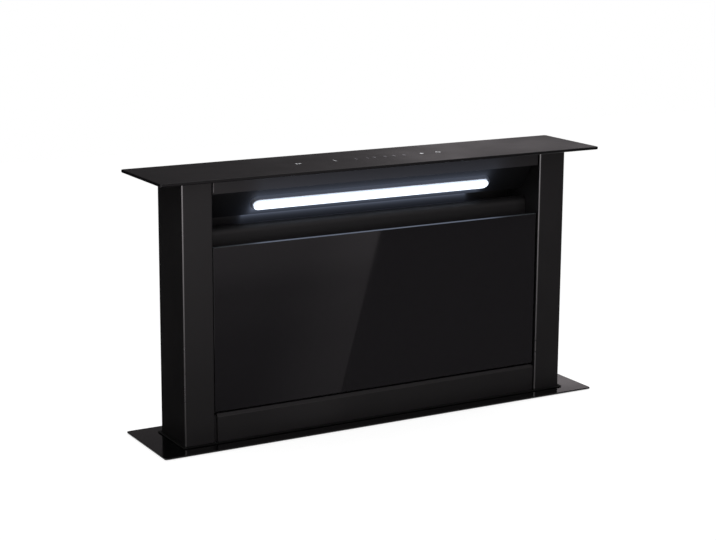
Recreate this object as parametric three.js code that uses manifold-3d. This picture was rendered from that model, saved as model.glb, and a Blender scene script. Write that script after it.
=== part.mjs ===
// A 60 cm downdraft vent for a kitchen worktop, shown with its column raised.
// Millimetres, +X to the right, +Y to the back, +Z up. The origin is the middle of the worktop cut-out,
// level with the top of the worktop. Everything under z = 0 hangs inside the cabinet.
import * as THREE from "three";
import { mergeVertices } from "three/addons/utils/BufferGeometryUtils.js";
import Module from "manifold-3d";

// Driving dimensions
const PLATE_WIDTH = 600;
const PLATE_DEPTH = 116;
const PLATE_CORNER = 3;
const TOP_THICKNESS = 3.5;
const FLANGE_THICKNESS = 2;
const GASKET_THICKNESS = 0.5;
const RISE = 319;
const TRAVEL = 311;
const COLUMN_WIDTH = 529;
const COLUMN_DEPTH = 69;
const COLUMN_BELOW = 130;
const PILASTER_WIDTH = 38;
const PILASTER_WALL = 1.5;
const SEAM = 1.5;
const GLASS_THICKNESS = 4;
const GLASS_TOP = 235.5;
const GLASS_FRONT = -31.3;
const HEADER_BOTTOM = 297.3;
const BAND_TOP = 38;
const SHEET = 1.2;
const GAP = 0.3;
const CHASSIS_WIDTH = 556;
const CHASSIS_DEPTH = 100;
const CHASSIS_BELOW = 660;
const SPINDLE_RADIUS = 5;
const FAN_X = -70;
const FAN_Z = -510;
const FAN_RADIUS = 95;
const SCROLL_DEPTH = 110;
const DUCT_RADIUS = 74.5;

// Derived sizes
const columnX = COLUMN_WIDTH / 2;
const columnY = COLUMN_DEPTH / 2;
const pilasterInner = columnX - PILASTER_WIDTH;
const frontX = pilasterInner - SEAM;
const linerX = pilasterInner - GAP;
const chassisX = CHASSIS_WIDTH / 2;
const chassisY = CHASSIS_DEPTH / 2;
const sideInner = chassisX - SHEET;
const topUnderside = RISE - TOP_THICKNESS;
const capTop = topUnderside - GAP;
const bodyTop = capTop - SHEET - GAP;
const footTop = -COLUMN_BELOW + 8;
const bodyBottom = footTop + GAP;
const flangeBottom = GASKET_THICKNESS + GAP;
const flangeTop = flangeBottom + FLANGE_THICKNESS;
const spindleX = columnX - PILASTER_WIDTH / 2;
const wallFront = -chassisY;

// Colours and surfaces
const BLACK_STEEL = [0x1c1b1d, 0.42, 0.2];
const BLACK_GLASS = [0x08080a, 0.08, 0.0];
const SATIN_GLASS = [0x201f21, 0.3, 0.0];
const GALVANISED = [0xa6abad, 0.45, 0.85];
const ALUMINIUM = [0xc4c7c9, 0.35, 0.9];
const BRIGHT_STEEL = [0xb9bcbe, 0.25, 0.95];
const RUBBER = [0x0d0d0d, 0.85, 0.0];
const DARK_PLASTIC = [0x18191b, 0.55, 0.0];
const PALE_PLASTIC = [0xe2e2de, 0.5, 0.0];
const OPAL = [0xf2f7ff, 0.4, 0.0];
const BOARD = [0x1d4f33, 0.5, 0.0];
const BRASS = [0xb08d4c, 0.35, 0.9];

const wasm = await Module();
wasm.setup();

const X_AXIS = new THREE.Vector3(1, 0, 0);
const Y_AXIS = new THREE.Vector3(0, 1, 0);
const Z_AXIS = new THREE.Vector3(0, 0, 1);
const TO_X = new THREE.Matrix4().makeBasis(Y_AXIS, Z_AXIS, X_AXIS);
const TO_Y = new THREE.Matrix4().makeBasis(X_AXIS, Z_AXIS, Y_AXIS.clone().negate());
const TO_Z = new THREE.Matrix4();

// Turns a closed geometry into a solid that can be joined and cut.
function solidFrom(geometry) {
  const bare = geometry.clone();
  bare.deleteAttribute("normal");
  bare.deleteAttribute("uv");
  const merged = mergeVertices(bare, 1e-4);
  const corners = Array.from(merged.index.array);
  const kept = [];
  for (let i = 0; i < corners.length; i += 3) {
    const [a, b, c] = corners.slice(i, i + 3);
    if (a !== b && b !== c && c !== a) kept.push(a, b, c);
  }
  const vertProperties = new Float32Array(merged.attributes.position.array);
  const build = (triVerts) => new wasm.Manifold(new wasm.Mesh({ numProp: 3, vertProperties, triVerts }));
  const solid = build(new Uint32Array(kept));
  if (solid.volume() > 0) return solid;
  return build(new Uint32Array(kept.reverse()));
}

// Turns a solid back into a flat-shaded geometry.
function geometryFrom(solid) {
  const mesh = solid.getMesh();
  const geometry = new THREE.BufferGeometry();
  geometry.setAttribute("position", new THREE.BufferAttribute(mesh.vertProperties, 3));
  geometry.setIndex(new THREE.BufferAttribute(mesh.triVerts, 1));
  const flat = geometry.toNonIndexed();
  flat.computeVertexNormals();
  return flat;
}

function join(solids) {
  return solids.reduce((whole, solid) => whole.add(solid));
}

function cut(solid, tools) {
  return tools.reduce((rest, tool) => rest.subtract(tool), solid);
}

function box(x0, x1, y0, y1, z0, z1) {
  const geometry = new THREE.BoxGeometry(x1 - x0, y1 - y0, z1 - z0);
  geometry.translate((x0 + x1) / 2, (y0 + y1) / 2, (z0 + z1) / 2);
  return solidFrom(geometry);
}

// Outlines
function polygon(points) {
  return new THREE.Shape(points.map(([u, v]) => new THREE.Vector2(u, v)));
}

function arc(u, v, radius, from, to, steps) {
  const points = [];
  for (let i = 0; i <= steps; i++) {
    const angle = from + ((to - from) * i) / steps;
    points.push([u + radius * Math.cos(angle), v + radius * Math.sin(angle)]);
  }
  return points;
}

// How many straight steps stand for a full turn of the given radius.
function stepsRound(radius) {
  if (radius < 3) return 8;
  if (radius < 8) return 12;
  if (radius < 20) return 20;
  return 40;
}

function disc(u, v, radius) {
  const steps = stepsRound(radius);
  return polygon(arc(u, v, radius, 0, (2 * Math.PI * (steps - 1)) / steps, steps - 1));
}

function rectangle(u0, u1, v0, v1, radius = 0) {
  if (radius === 0) return polygon([[u0, v0], [u1, v0], [u1, v1], [u0, v1]]);
  const quarter = stepsRound(radius) / 4;
  const right = Math.PI / 2;
  return polygon([
    ...arc(u1 - radius, v0 + radius, radius, -right, 0, quarter),
    ...arc(u1 - radius, v1 - radius, radius, 0, right, quarter),
    ...arc(u0 + radius, v1 - radius, radius, right, 2 * right, quarter),
    ...arc(u0 + radius, v0 + radius, radius, 2 * right, 3 * right, quarter),
  ]);
}

function slab(halfU, halfV, radius = 0) {
  return rectangle(-halfU, halfU, -halfV, halfV, radius);
}

// A strip with round ends; the hair's breadth keeps the two quarters of an end from meeting in one point.
function roundEnded(halfLength, halfWidth, hair = 0.1) {
  return slab(halfLength, halfWidth, halfWidth - hair);
}

function pierced(shape, ...holes) {
  shape.holes.push(...holes);
  return shape;
}

// The corners of a folded sheet: the path is its right-hand face, and the metal lies to the left of it.
function sheetCorners(path, thickness) {
  const points = path.map(([u, v]) => new THREE.Vector2(u, v));
  const sides = points.slice(1).map((point, i) => {
    const run = point.clone().sub(points[i]).normalize();
    return new THREE.Vector2(-run.y, run.x);
  });
  const inner = points.map((point, i) => {
    const before = sides[Math.max(i - 1, 0)];
    const after = sides[Math.min(i, sides.length - 1)];
    const mitre = before.clone().add(after).normalize();
    return point.clone().addScaledVector(mitre, thickness / mitre.dot(after));
  });
  return [...points, ...inner.reverse()];
}

function folded(path, thickness = SHEET) {
  return new THREE.Shape(sheetCorners(path, thickness));
}

// Draws an outline out along one axis; its holes are cut right through.
function drawn(shape, from, to, matrix) {
  const extrude = (outline, low, high) => {
    const settings = { depth: high - low, bevelEnabled: false };
    const geometry = new THREE.ExtrudeGeometry(new THREE.Shape(outline), settings);
    geometry.translate(0, 0, low);
    return solidFrom(geometry.applyMatrix4(matrix));
  };
  const { shape: outline, holes } = shape.extractPoints(1);
  return cut(extrude(outline, from, to), holes.map((hole) => extrude(hole, from - 1, to + 1)));
}

function alongX(shape, x0, x1) {
  return drawn(shape, x0, x1, TO_X);
}

function alongY(shape, y0, y1) {
  return drawn(shape, -y1, -y0, TO_Y);
}

function alongZ(shape, z0, z1) {
  return drawn(shape, z0, z1, TO_Z);
}

// A plate with its edges eased by a small bevel on both faces.
function easedPlate(shape, from, to, ease, matrix = TO_Z) {
  const geometry = new THREE.ExtrudeGeometry(shape, {
    depth: to - from - 2 * ease,
    bevelEnabled: true,
    bevelThickness: ease,
    bevelSize: ease,
    bevelOffset: -ease,
    bevelSegments: 1,
  });
  geometry.translate(0, 0, from + ease);
  return solidFrom(geometry.applyMatrix4(matrix));
}

// A turned piece: radius and height pairs, revolved about a line through the given point.
function turned(profile, axis, at, segments = 32) {
  const points = profile.map(([radius, height]) => new THREE.Vector2(radius, height));
  const geometry = new THREE.LatheGeometry(points, segments);
  geometry.applyQuaternion(new THREE.Quaternion().setFromUnitVectors(Y_AXIS, axis));
  geometry.translate(at.x, at.y, at.z);
  return solidFrom(geometry);
}

const mirrorX = (solid) => solid.mirror([1, 0, 0]);

const group = new THREE.Group();

function add(name, solid, [color, roughness, metalness]) {
  const mesh = new THREE.Mesh(
    geometryFrom(solid),
    new THREE.MeshStandardMaterial({ color, roughness, metalness }),
  );
  mesh.name = name;
  group.add(mesh);
}

// Adds a left-hand piece and its mirror image.
function addPair(name, solid, surface) {
  add(name + "_left", solid, surface);
  add(name + "_right", mirrorX(solid), surface);
}

// ---- Worktop flange, its foam gasket and the wiper seal that the column slides through ----
const SLOT_CLEARANCE = 3.2;
const FLANGE_COLLAR = 16;
const SEAL_CLEARANCE = 0.5;
const SEAL_HEIGHT = 14;
const SEAL_LIP = 1;
const slotX = columnX + SLOT_CLEARANCE;
const slotY = columnY + SLOT_CLEARANCE;

function addFlange() {
  const plate = pierced(slab(PLATE_WIDTH / 2, PLATE_DEPTH / 2, PLATE_CORNER), slab(slotX, slotY, 2));
  const collar = pierced(slab(slotX + SHEET, slotY + SHEET, 3), slab(slotX, slotY, 2));
  add(
    "worktop_flange",
    easedPlate(plate, flangeBottom, flangeTop, 0.5).add(alongZ(collar, -FLANGE_COLLAR, flangeBottom + 0.5)),
    BLACK_STEEL,
  );

  const inset = 2.5;
  const cutOutX = chassisX + 2;
  const cutOutY = chassisY + 1.5;
  const strip = pierced(
    slab(PLATE_WIDTH / 2 - inset, PLATE_DEPTH / 2 - inset, PLATE_CORNER),
    slab(cutOutX, cutOutY),
  );
  add("flange_gasket", alongZ(strip, 0, GASKET_THICKNESS), RUBBER);

  const innerX = columnX + SEAL_CLEARANCE;
  const innerY = columnY + SEAL_CLEARANCE;
  const sealTop = flangeTop + GAP + SEAL_LIP;
  const body = pierced(slab(slotX - GAP, slotY - GAP, 2), slab(innerX, innerY));
  const lip = pierced(slab(slotX + 0.8, slotY + 0.8, 3), slab(innerX, innerY));
  const seal = join([
    alongZ(body, sealTop - SEAL_HEIGHT, sealTop - SEAL_LIP / 2),
    alongZ(lip, sealTop - SEAL_LIP, sealTop),
  ]);
  add("column_seal", seal, RUBBER);
}

// ---- Chassis: a galvanised sheet box that hangs in the cabinet ----
const INLET_RADIUS = 84;
const DECK_TOP = -CHASSIS_BELOW + 29.2;
const SIDE_FLANGE = 15;

function addChassis() {
  const bottom = -CHASSIS_BELOW + SHEET + GAP;
  const top = flangeBottom - GAP;
  const front = rectangle(-chassisX, chassisX, bottom, top);
  front.holes.push(disc(FAN_X, FAN_Z, INLET_RADIUS));
  add("chassis_front", alongY(front, wallFront, wallFront + SHEET), GALVANISED);

  const rear = rectangle(-chassisX, chassisX, bottom, top);
  const beadRise = 3;
  const beads = [-200, 0, 200].map((x) =>
    alongZ(polygon([[x - 9, -0.4], [x - 5, beadRise], [x + 5, beadRise], [x + 9, -0.4]]), -620, -160)
      .translate(0, chassisY, 0),
  );
  add("chassis_rear", join([alongY(rear, chassisY - SHEET, chassisY), ...beads]), GALVANISED);

  const flangeY = chassisY - SHEET - GAP;
  const side = folded([
    [-chassisX + SIDE_FLANGE, flangeY],
    [-chassisX, flangeY],
    [-chassisX, -flangeY],
    [-chassisX + SIDE_FLANGE, -flangeY],
  ]);
  addPair("chassis_side", alongZ(side, bottom, top), GALVANISED);

  const coverY = flangeY - SHEET - GAP;
  const tray = folded([
    [-coverY, -CHASSIS_BELOW + 12],
    [-coverY, -CHASSIS_BELOW],
    [coverY, -CHASSIS_BELOW],
    [coverY, -CHASSIS_BELOW + 12],
  ]);
  add("base_cover", alongX(tray, -sideInner + GAP, sideInner - GAP), GALVANISED);

  const deck = folded([
    [coverY, DECK_TOP - 10],
    [coverY, DECK_TOP],
    [-coverY, DECK_TOP],
    [-coverY, DECK_TOP - 10],
  ]);
  const shaftHoles = [-spindleX, spindleX, PINION_X].map((x) =>
    alongZ(disc(x, 0, 7), DECK_TOP - 3, DECK_TOP + 1),
  );
  add("drive_deck", cut(alongX(deck, -sideInner + GAP, sideInner - GAP), shaftHoles), GALVANISED);
}

// ---- Lift drive: two spindles turned together, one by a geared motor and one through a belt ----
const GEAR_MODULE = 1.4;
const SPINDLE_TEETH = 40;
const PINION_TEETH = 20;
const PINION_X = -spindleX + (GEAR_MODULE * (SPINDLE_TEETH + PINION_TEETH)) / 2;
const GEAR_TOP = DECK_TOP - 5;
const GEAR_WIDTH = 7;
const PULLEY_TOP = GEAR_TOP - GEAR_WIDTH - 2;
const PULLEY_WIDTH = 10;
const PULLEY_RADIUS = 14;
const SPINDLE_TOP = -COLUMN_BELOW + 30;

function gearOutline(teeth, phase) {
  const pitchRadius = (GEAR_MODULE * teeth) / 2;
  const root = pitchRadius - 1.25 * GEAR_MODULE;
  const tip = pitchRadius + 0.85 * GEAR_MODULE;
  const half = Math.PI / (2 * teeth);
  const points = [];
  for (let i = 0; i < teeth; i++) {
    const middle = phase + (i * 2 * Math.PI) / teeth;
    const flank = [[root, -1.25], [tip, -0.4], [tip, 0.4], [root, 1.25]];
    for (const [radius, share] of flank) {
      const angle = middle + share * half;
      points.push([radius * Math.cos(angle), radius * Math.sin(angle)]);
    }
  }
  return polygon(points);
}

function addLiftDrive() {
  const spindleBottom = -CHASSIS_BELOW + 3;
  const spindle = turned(
    [
      [0, spindleBottom],
      [SPINDLE_RADIUS - 0.6, spindleBottom],
      [SPINDLE_RADIUS, spindleBottom + 0.6],
      [SPINDLE_RADIUS, SPINDLE_TOP - 3],
      [SPINDLE_RADIUS - 2, SPINDLE_TOP],
      [0, SPINDLE_TOP],
    ],
    Z_AXIS,
    new THREE.Vector3(-spindleX, 0, 0),
    20,
  );
  addPair("spindle", spindle, BRIGHT_STEEL);

  const bore = SPINDLE_RADIUS + GAP;
  const flangeRadius = PULLEY_RADIUS + 3.5;
  const bottom = PULLEY_TOP - PULLEY_WIDTH;
  const pulley = turned(
    [
      [bore, bottom],
      [flangeRadius, bottom],
      [flangeRadius, bottom + 0.8],
      [PULLEY_RADIUS, bottom + 0.8],
      [PULLEY_RADIUS, PULLEY_TOP - 0.8],
      [flangeRadius, PULLEY_TOP - 0.8],
      [flangeRadius, PULLEY_TOP],
      [bore, PULLEY_TOP],
      [bore, bottom],
    ],
    Z_AXIS,
    new THREE.Vector3(-spindleX, 0, 0),
    18,
  );
  add("spindle_pulley", mirrorX(pulley), PALE_PLASTIC);

  // The left spindle carries a pulley and a gear moulded in one.
  const gear = alongZ(gearOutline(SPINDLE_TEETH, 0), GEAR_TOP - GEAR_WIDTH, GEAR_TOP);
  const hub = alongZ(disc(0, 0, PULLEY_RADIUS), PULLEY_TOP - 1, GEAR_TOP - 1);
  const bored = gear.add(hub).subtract(alongZ(disc(0, 0, bore), PULLEY_TOP - 2, GEAR_TOP + 1));
  add("spindle_gear", join([bored.translate(-spindleX, 0, 0), pulley]), PALE_PLASTIC);
  const toothPitch = (2 * Math.PI) / PINION_TEETH;
  const pinion = join([
    alongZ(gearOutline(PINION_TEETH, toothPitch / 2), GEAR_TOP - GEAR_WIDTH, GEAR_TOP),
    alongZ(disc(0, 0, 4), GEAR_TOP - 1, DECK_TOP),
  ]);
  add("motor_pinion", pinion.translate(PINION_X, 0, 0), PALE_PLASTIC);

  const beltInner = PULLEY_RADIUS + GAP;
  const beltOuter = beltInner + 1.8;
  const loop = pierced(
    rectangle(-spindleX - beltOuter, spindleX + beltOuter, -beltOuter, beltOuter, beltOuter - 0.01),
    rectangle(-spindleX - beltInner, spindleX + beltInner, -beltInner, beltInner, beltInner - 0.01),
  );
  add("sync_belt", alongZ(loop, bottom + 1.2, PULLEY_TOP - 1.2), RUBBER);

  const seat = DECK_TOP + GAP;
  const bearing = turned(
    [
      [bore + 0.1, seat],
      [16, seat],
      [16, seat + 4],
      [11, seat + 5],
      [11, seat + 13],
      [bore + 0.1, seat + 13],
      [bore + 0.1, seat],
    ],
    Z_AXIS,
    new THREE.Vector3(-spindleX, 0, 0),
    18,
  );
  addPair("spindle_bearing", bearing, DARK_PLASTIC);

  const gearbox = alongZ(slab(22, 22, 5), seat, seat + 30).translate(PINION_X, 0, 0);
  const can = turned(
    [
      [0, seat + 29],
      [18, seat + 29],
      [18, seat + 92],
      [15, seat + 95],
      [6, seat + 95],
      [6, seat + 99],
      [0, seat + 99],
    ],
    Z_AXIS,
    new THREE.Vector3(PINION_X, 0, 0),
    28,
  );
  add("lift_motor", join([gearbox, can]), GALVANISED);

  // Flanged lift nuts under the column's foot, and the bores that the spindles run through.
  const flangeSeat = -COLUMN_BELOW - GAP;
  const nutBore = SPINDLE_RADIUS + 0.4;
  const nut = turned(
    [
      [nutBore, flangeSeat - 10],
      [8.5, flangeSeat - 10],
      [8.5, flangeSeat - 4],
      [14, flangeSeat - 4],
      [14, flangeSeat],
      [8.5, flangeSeat],
      [8.5, flangeSeat + 20],
      [nutBore, flangeSeat + 20],
      [nutBore, flangeSeat - 10],
    ],
    Z_AXIS,
    new THREE.Vector3(-spindleX, 0, 0),
    18,
  );
  addPair("lift_nut", nut, BRASS);
}

// ---- Guide rails on the chassis sides, and the glide shoes of the column that run in them ----
const RAIL_HALF = 22.5;
const RAIL_WALL = 1.8;
const RAIL_LIP = 8.5;

function addGuides() {
  const back = -sideInner + GAP;
  const mouth = -columnX - 0.8;
  const rail = folded(
    [
      [mouth, RAIL_HALF - RAIL_LIP],
      [mouth, RAIL_HALF],
      [back, RAIL_HALF],
      [back, -RAIL_HALF],
      [mouth, -RAIL_HALF],
      [mouth, -RAIL_HALF + RAIL_LIP],
    ],
    RAIL_WALL,
  );
  const overrun = 19;
  addPair("guide_rail", alongZ(rail, -COLUMN_BELOW - TRAVEL - overrun, -FLANGE_COLLAR - 4), BRIGHT_STEEL);

  const head = RAIL_HALF - RAIL_WALL - 0.5;
  const neck = RAIL_HALF - RAIL_LIP - 0.6;
  const headFront = mouth - RAIL_WALL - 0.5;
  const headBack = back + RAIL_WALL + 0.5;
  const shoe = polygon([
    [-columnX - GAP, -neck],
    [-columnX - GAP, neck],
    [headFront, neck],
    [headFront, head],
    [headBack, head],
    [headBack, -head],
    [headFront, -head],
    [headFront, -neck],
  ]);
  addPair("glide_shoe", alongZ(shoe, -COLUMN_BELOW + 4, -FLANGE_COLLAR - 8), PALE_PLASTIC);
}

// ---- Column: the moving tower of pilasters, rear panel, liner and foot ----
const PIVOT_Y = -25.5;
const PIVOT_Z = 41;
const TRUNNION_RADIUS = 1.5;
const LINER_SHELF = BAND_TOP - 2.5;
const LINER_Y = -22;
const LINER_TOP = 190;

function addColumn() {
  const wallX = PILASTER_WIDTH / 2;
  const tube = pierced(
    slab(wallX, columnY, 1.5),
    slab(wallX - PILASTER_WALL, columnY - PILASTER_WALL),
  );
  const pivotBore = disc(PIVOT_Y, PIVOT_Z, TRUNNION_RADIUS + 0.4);
  const pivotHole = alongX(pivotBore, -pilasterInner - 3, -pilasterInner + 1);
  const pilaster = alongZ(tube, bodyBottom, bodyTop).translate(-spindleX, 0, 0);
  addPair("pilaster", cut(pilaster, [pivotHole]), BLACK_STEEL);

  add("rear_panel", box(-linerX, linerX, columnY - SHEET, columnY, bodyBottom, bodyTop), BLACK_STEEL);

  const apronY = -columnY + 3;
  const liner = folded([
    [-16, LINER_TOP],
    [LINER_Y, LINER_TOP],
    [LINER_Y, LINER_SHELF],
    [apronY, LINER_SHELF],
    [apronY, bodyBottom],
  ]);
  add("front_liner", alongX(liner, -linerX, linerX), BLACK_STEEL);

  // The band stands proud of the glass and ends in a bright bevel along its top.
  const band = folded([
    [-columnY + 2.7, BAND_TOP],
    [-columnY, BAND_TOP - 3.7],
    [-columnY, -30],
  ]);
  add("lower_band", alongX(band, -frontX + 2, frontX - 2), BLACK_STEEL);

  const foot = alongZ(slab(columnX, columnY, 1.5), -COLUMN_BELOW, footTop);
  const openings = [slab(222, 29, 4), disc(-spindleX, 0, 9), disc(spindleX, 0, 9)].map((shape) =>
    alongZ(shape, -COLUMN_BELOW - 1, footTop + 1),
  );
  add("foot_frame", cut(foot, openings), BLACK_STEEL);
}

// ---- Top plate with the touch control under it ----
function addTop() {
  const plate = slab(PLATE_WIDTH / 2, PLATE_DEPTH / 2, PLATE_CORNER);
  add("top_plate", easedPlate(plate, topUnderside, RISE, 0.6), SATIN_GLASS);

  const windowX = 116;
  const windowY = 17;
  const tray = pierced(slab(columnX, columnY, 1.5), slab(windowX, windowY, 2));
  add("cap_tray", alongZ(tray, capTop - SHEET, capTop), BLACK_STEEL);

  add("touch_board", alongZ(slab(windowX - 3, windowY - 3, 2), capTop - SHEET, capTop), BOARD);

  const housingX = windowX + 6;
  const housingY = windowY + 5;
  const depth = 12;
  const outer = alongZ(slab(housingX, housingY, 4), bodyTop - depth, bodyTop);
  const hollow = alongZ(slab(housingX - 1.8, housingY - 1.8, 2.5), bodyTop - depth + 1.8, bodyTop + 1);
  add("board_housing", cut(outer, [hollow]), DARK_PLASTIC);
}

// ---- Air intake: header, sloping lamp baffle, light bar and the rounded rail over the filter ----
const SLOPE = THREE.MathUtils.degToRad(50);
const LAMP_Y = -13.5;
const LAMP_Z = 274.2;
const LAMP_HALF_LENGTH = 163;
const LAMP_WIDTH = 12.6;
const BAFFLE_BEHIND_LAMP = 9;
const RAIL_RADIUS = 9;
const RAIL_Y = 4;
const RAIL_Z = 243.8;
const RAIL_SKIRT = 31;
const HEADER_FRONT = -32;

// Places a piece modelled on the flat, facing +Z with its length along X, on the slope of the lamp.
function onSlope(solid) {
  return solid.rotate([180 - THREE.MathUtils.radToDeg(SLOPE), 0, 0]).translate(0, LAMP_Y, LAMP_Z);
}

function addIntake() {
  const header = folded([
    [-26.5, bodyTop],
    [HEADER_FRONT, bodyTop],
    [HEADER_FRONT, HEADER_BOTTOM],
    [-23.5, HEADER_BOTTOM],
  ]);
  add("header_strip", alongX(header, -frontX, frontX), BLACK_STEEL);

  // The baffle starts on the header's lower fold, slopes down and back, and ends in a small lip.
  const down = [Math.cos(SLOPE), -Math.sin(SLOPE)];
  const behind = [
    LAMP_Y + Math.sin(SLOPE) * BAFFLE_BEHIND_LAMP,
    LAMP_Z + Math.cos(SLOPE) * BAFFLE_BEHIND_LAMP,
  ];
  const shelf = HEADER_BOTTOM + SHEET + GAP;
  const rise = (shelf - behind[1]) / down[1];
  const fall = 24;
  const lip = [behind[0] + fall * down[0], behind[1] + fall * down[1]];
  const baffle = folded([
    [-30, shelf],
    [behind[0] + rise * down[0], shelf],
    lip,
    [lip[0] + 5, lip[1] + 0.6],
    [lip[0] + 6, lip[1] + 5],
  ]);
  add("lamp_baffle", alongX(baffle, -linerX, linerX), BLACK_STEEL);

  const face = 2.5;
  const rim = 3;
  const surround = roundEnded(LAMP_HALF_LENGTH + rim, LAMP_WIDTH / 2 + rim);
  const housing = alongZ(surround, -BAFFLE_BEHIND_LAMP + GAP, -face - GAP);
  add("lamp_housing", onSlope(housing), ALUMINIUM);
  const diffuser = easedPlate(roundEnded(LAMP_HALF_LENGTH, LAMP_WIDTH / 2), -face, 0, 0.6);
  add("lamp_diffuser", onSlope(diffuser), OPAL);

  const rail = folded([
    [RAIL_Y + RAIL_RADIUS, RAIL_Z - 8],
    ...arc(RAIL_Y, RAIL_Z, RAIL_RADIUS, 0, Math.PI, 14),
    [RAIL_Y - RAIL_RADIUS, RAIL_Z - RAIL_SKIRT],
  ]);
  add("filter_rail", alongX(rail, -linerX, linerX), BLACK_STEEL);
}

// ---- Grease filter: a flat cassette across the column, held in two side channels ----
const FILTER_X = 214;
const FILTER_FRONT = -21;
const FILTER_BACK = 32;
const FILTER_BOTTOM = 196;
const FILTER_HEIGHT = 13;

function addFilter() {
  const wide = rectangle(-FILTER_X, FILTER_X, FILTER_FRONT, FILTER_BACK, 3);
  const inside = rectangle(-FILTER_X + 8, FILTER_X - 8, FILTER_FRONT + 7, FILTER_BACK - 7, 2);
  const frame = alongZ(pierced(wide, inside), FILTER_BOTTOM, FILTER_BOTTOM + FILTER_HEIGHT);
  const grip = rectangle(-30, 30, FILTER_BOTTOM + 4, FILTER_BOTTOM + 9, 2.4);
  add("filter_frame", cut(frame, [alongY(grip, FILTER_FRONT - 1, FILTER_FRONT + 3)]), ALUMINIUM);

  // The core is a pleated mesh: one folded strip from end to end.
  const pleats = 44;
  const coreX = FILTER_X - 8 - 2 * GAP;
  const low = FILTER_BOTTOM + 2.5;
  const high = FILTER_BOTTOM + FILTER_HEIGHT - 2.5;
  const zigzag = [];
  for (let i = 0; i <= pleats; i++) {
    zigzag.push([-coreX + 1 + (i * (2 * coreX - 2)) / pleats, i % 2 ? high : low]);
  }
  const core = alongY(folded(zigzag, 0.8), FILTER_FRONT + 7 + GAP, FILTER_BACK - 7 - GAP);
  add("filter_core", core, ALUMINIUM);

  const channelInner = FILTER_X - 6;
  const rack = folded(
    [
      [-channelInner, FILTER_BOTTOM + FILTER_HEIGHT + GAP + SHEET],
      [-linerX, FILTER_BOTTOM + FILTER_HEIGHT + GAP + SHEET],
      [-linerX, FILTER_BOTTOM - GAP - SHEET],
      [-channelInner, FILTER_BOTTOM - GAP - SHEET],
    ],
    SHEET,
  );
  addPair("filter_rack", alongY(rack, FILTER_FRONT, FILTER_BACK), BLACK_STEEL);
}

// ---- Glass front: tilts forward on two trunnions so that the filter can be reached ----
const CATCH_BOTTOM = 170;

function addGlassFront() {
  const glass = rectangle(-frontX, frontX, BAND_TOP + 1.2, GLASS_TOP, 1.5);
  const glassBack = GLASS_FRONT + GLASS_THICKNESS;
  add("glass_panel", easedPlate(glass, -glassBack, -GLASS_FRONT, 0.7, TO_Y), BLACK_GLASS);

  const carrierX = 216;
  const carrierTop = GLASS_TOP - 7.5;
  const carrierRim = 22;
  const carrierFront = glassBack + GAP;
  const carrierBack = carrierFront + SHEET;
  const windowX = carrierX - carrierRim;
  const window = rectangle(-windowX, windowX, PIVOT_Z + carrierRim + 1, CATCH_BOTTOM - 10, 6);
  const frame = pierced(rectangle(-carrierX, carrierX, PIVOT_Z + 1, carrierTop, 3), window);
  const lugX = frontX - 1;
  const ears = [-1, 1].flatMap((side) => {
    const [near, far] = [side * (carrierX - 10), side * lugX].sort((a, b) => a - b);
    const [pinNear, pinFar] = [side * (lugX - 2), side * (pilasterInner + 1)].sort((a, b) => a - b);
    return [
      box(near, far, carrierFront, PIVOT_Y + 2, PIVOT_Z - 1.6, PIVOT_Z + 6),
      alongX(disc(PIVOT_Y, PIVOT_Z, TRUNNION_RADIUS), pinNear, pinFar),
    ];
  });
  add("glass_carrier", join([alongY(frame, carrierFront, carrierBack), ...ears]), BLACK_STEEL);

  const magnet = box(-24, 24, carrierBack + GAP, LINER_Y - GAP, CATCH_BOTTOM, CATCH_BOTTOM + 14);
  add("magnetic_catch", magnet, DARK_PLASTIC);
}

// ---- Blower: bell-mouth, scroll casing, forward-curved impeller, motor and outlet ----
const SCROLL_START = 103;
const SCROLL_END = 190;
const SCROLL_WALL = 1.5;
const TONGUE_ANGLE = THREE.MathUtils.degToRad(65);
const OUTLET_X = 60;
const scrollBack = wallFront - GAP;
const scrollFront = scrollBack - SCROLL_DEPTH;
const channelBottom = FAN_Z + SCROLL_START * Math.sin(TONGUE_ANGLE);
const channelTop = FAN_Z + SCROLL_END;

// The spiral grows evenly from the tongue, clockwise as seen from the front, to the top of the outlet.
function scrollSolid(extra, y0, y1, outletX) {
  const sweep = TONGUE_ANGLE + Math.PI * 1.5;
  const steps = 44;
  const spiral = [];
  for (let i = 0; i <= steps; i++) {
    const turn = (sweep * i) / steps;
    const radius = SCROLL_START + ((SCROLL_END - SCROLL_START) * turn) / sweep + extra;
    const angle = TONGUE_ANGLE - turn;
    spiral.push([FAN_X + radius * Math.cos(angle), FAN_Z + radius * Math.sin(angle)]);
  }
  const channel = rectangle(FAN_X, outletX, channelBottom - extra, channelTop + extra);
  return alongY(polygon(spiral.reverse()), y0, y1).add(alongY(channel, y0, y1));
}

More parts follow.
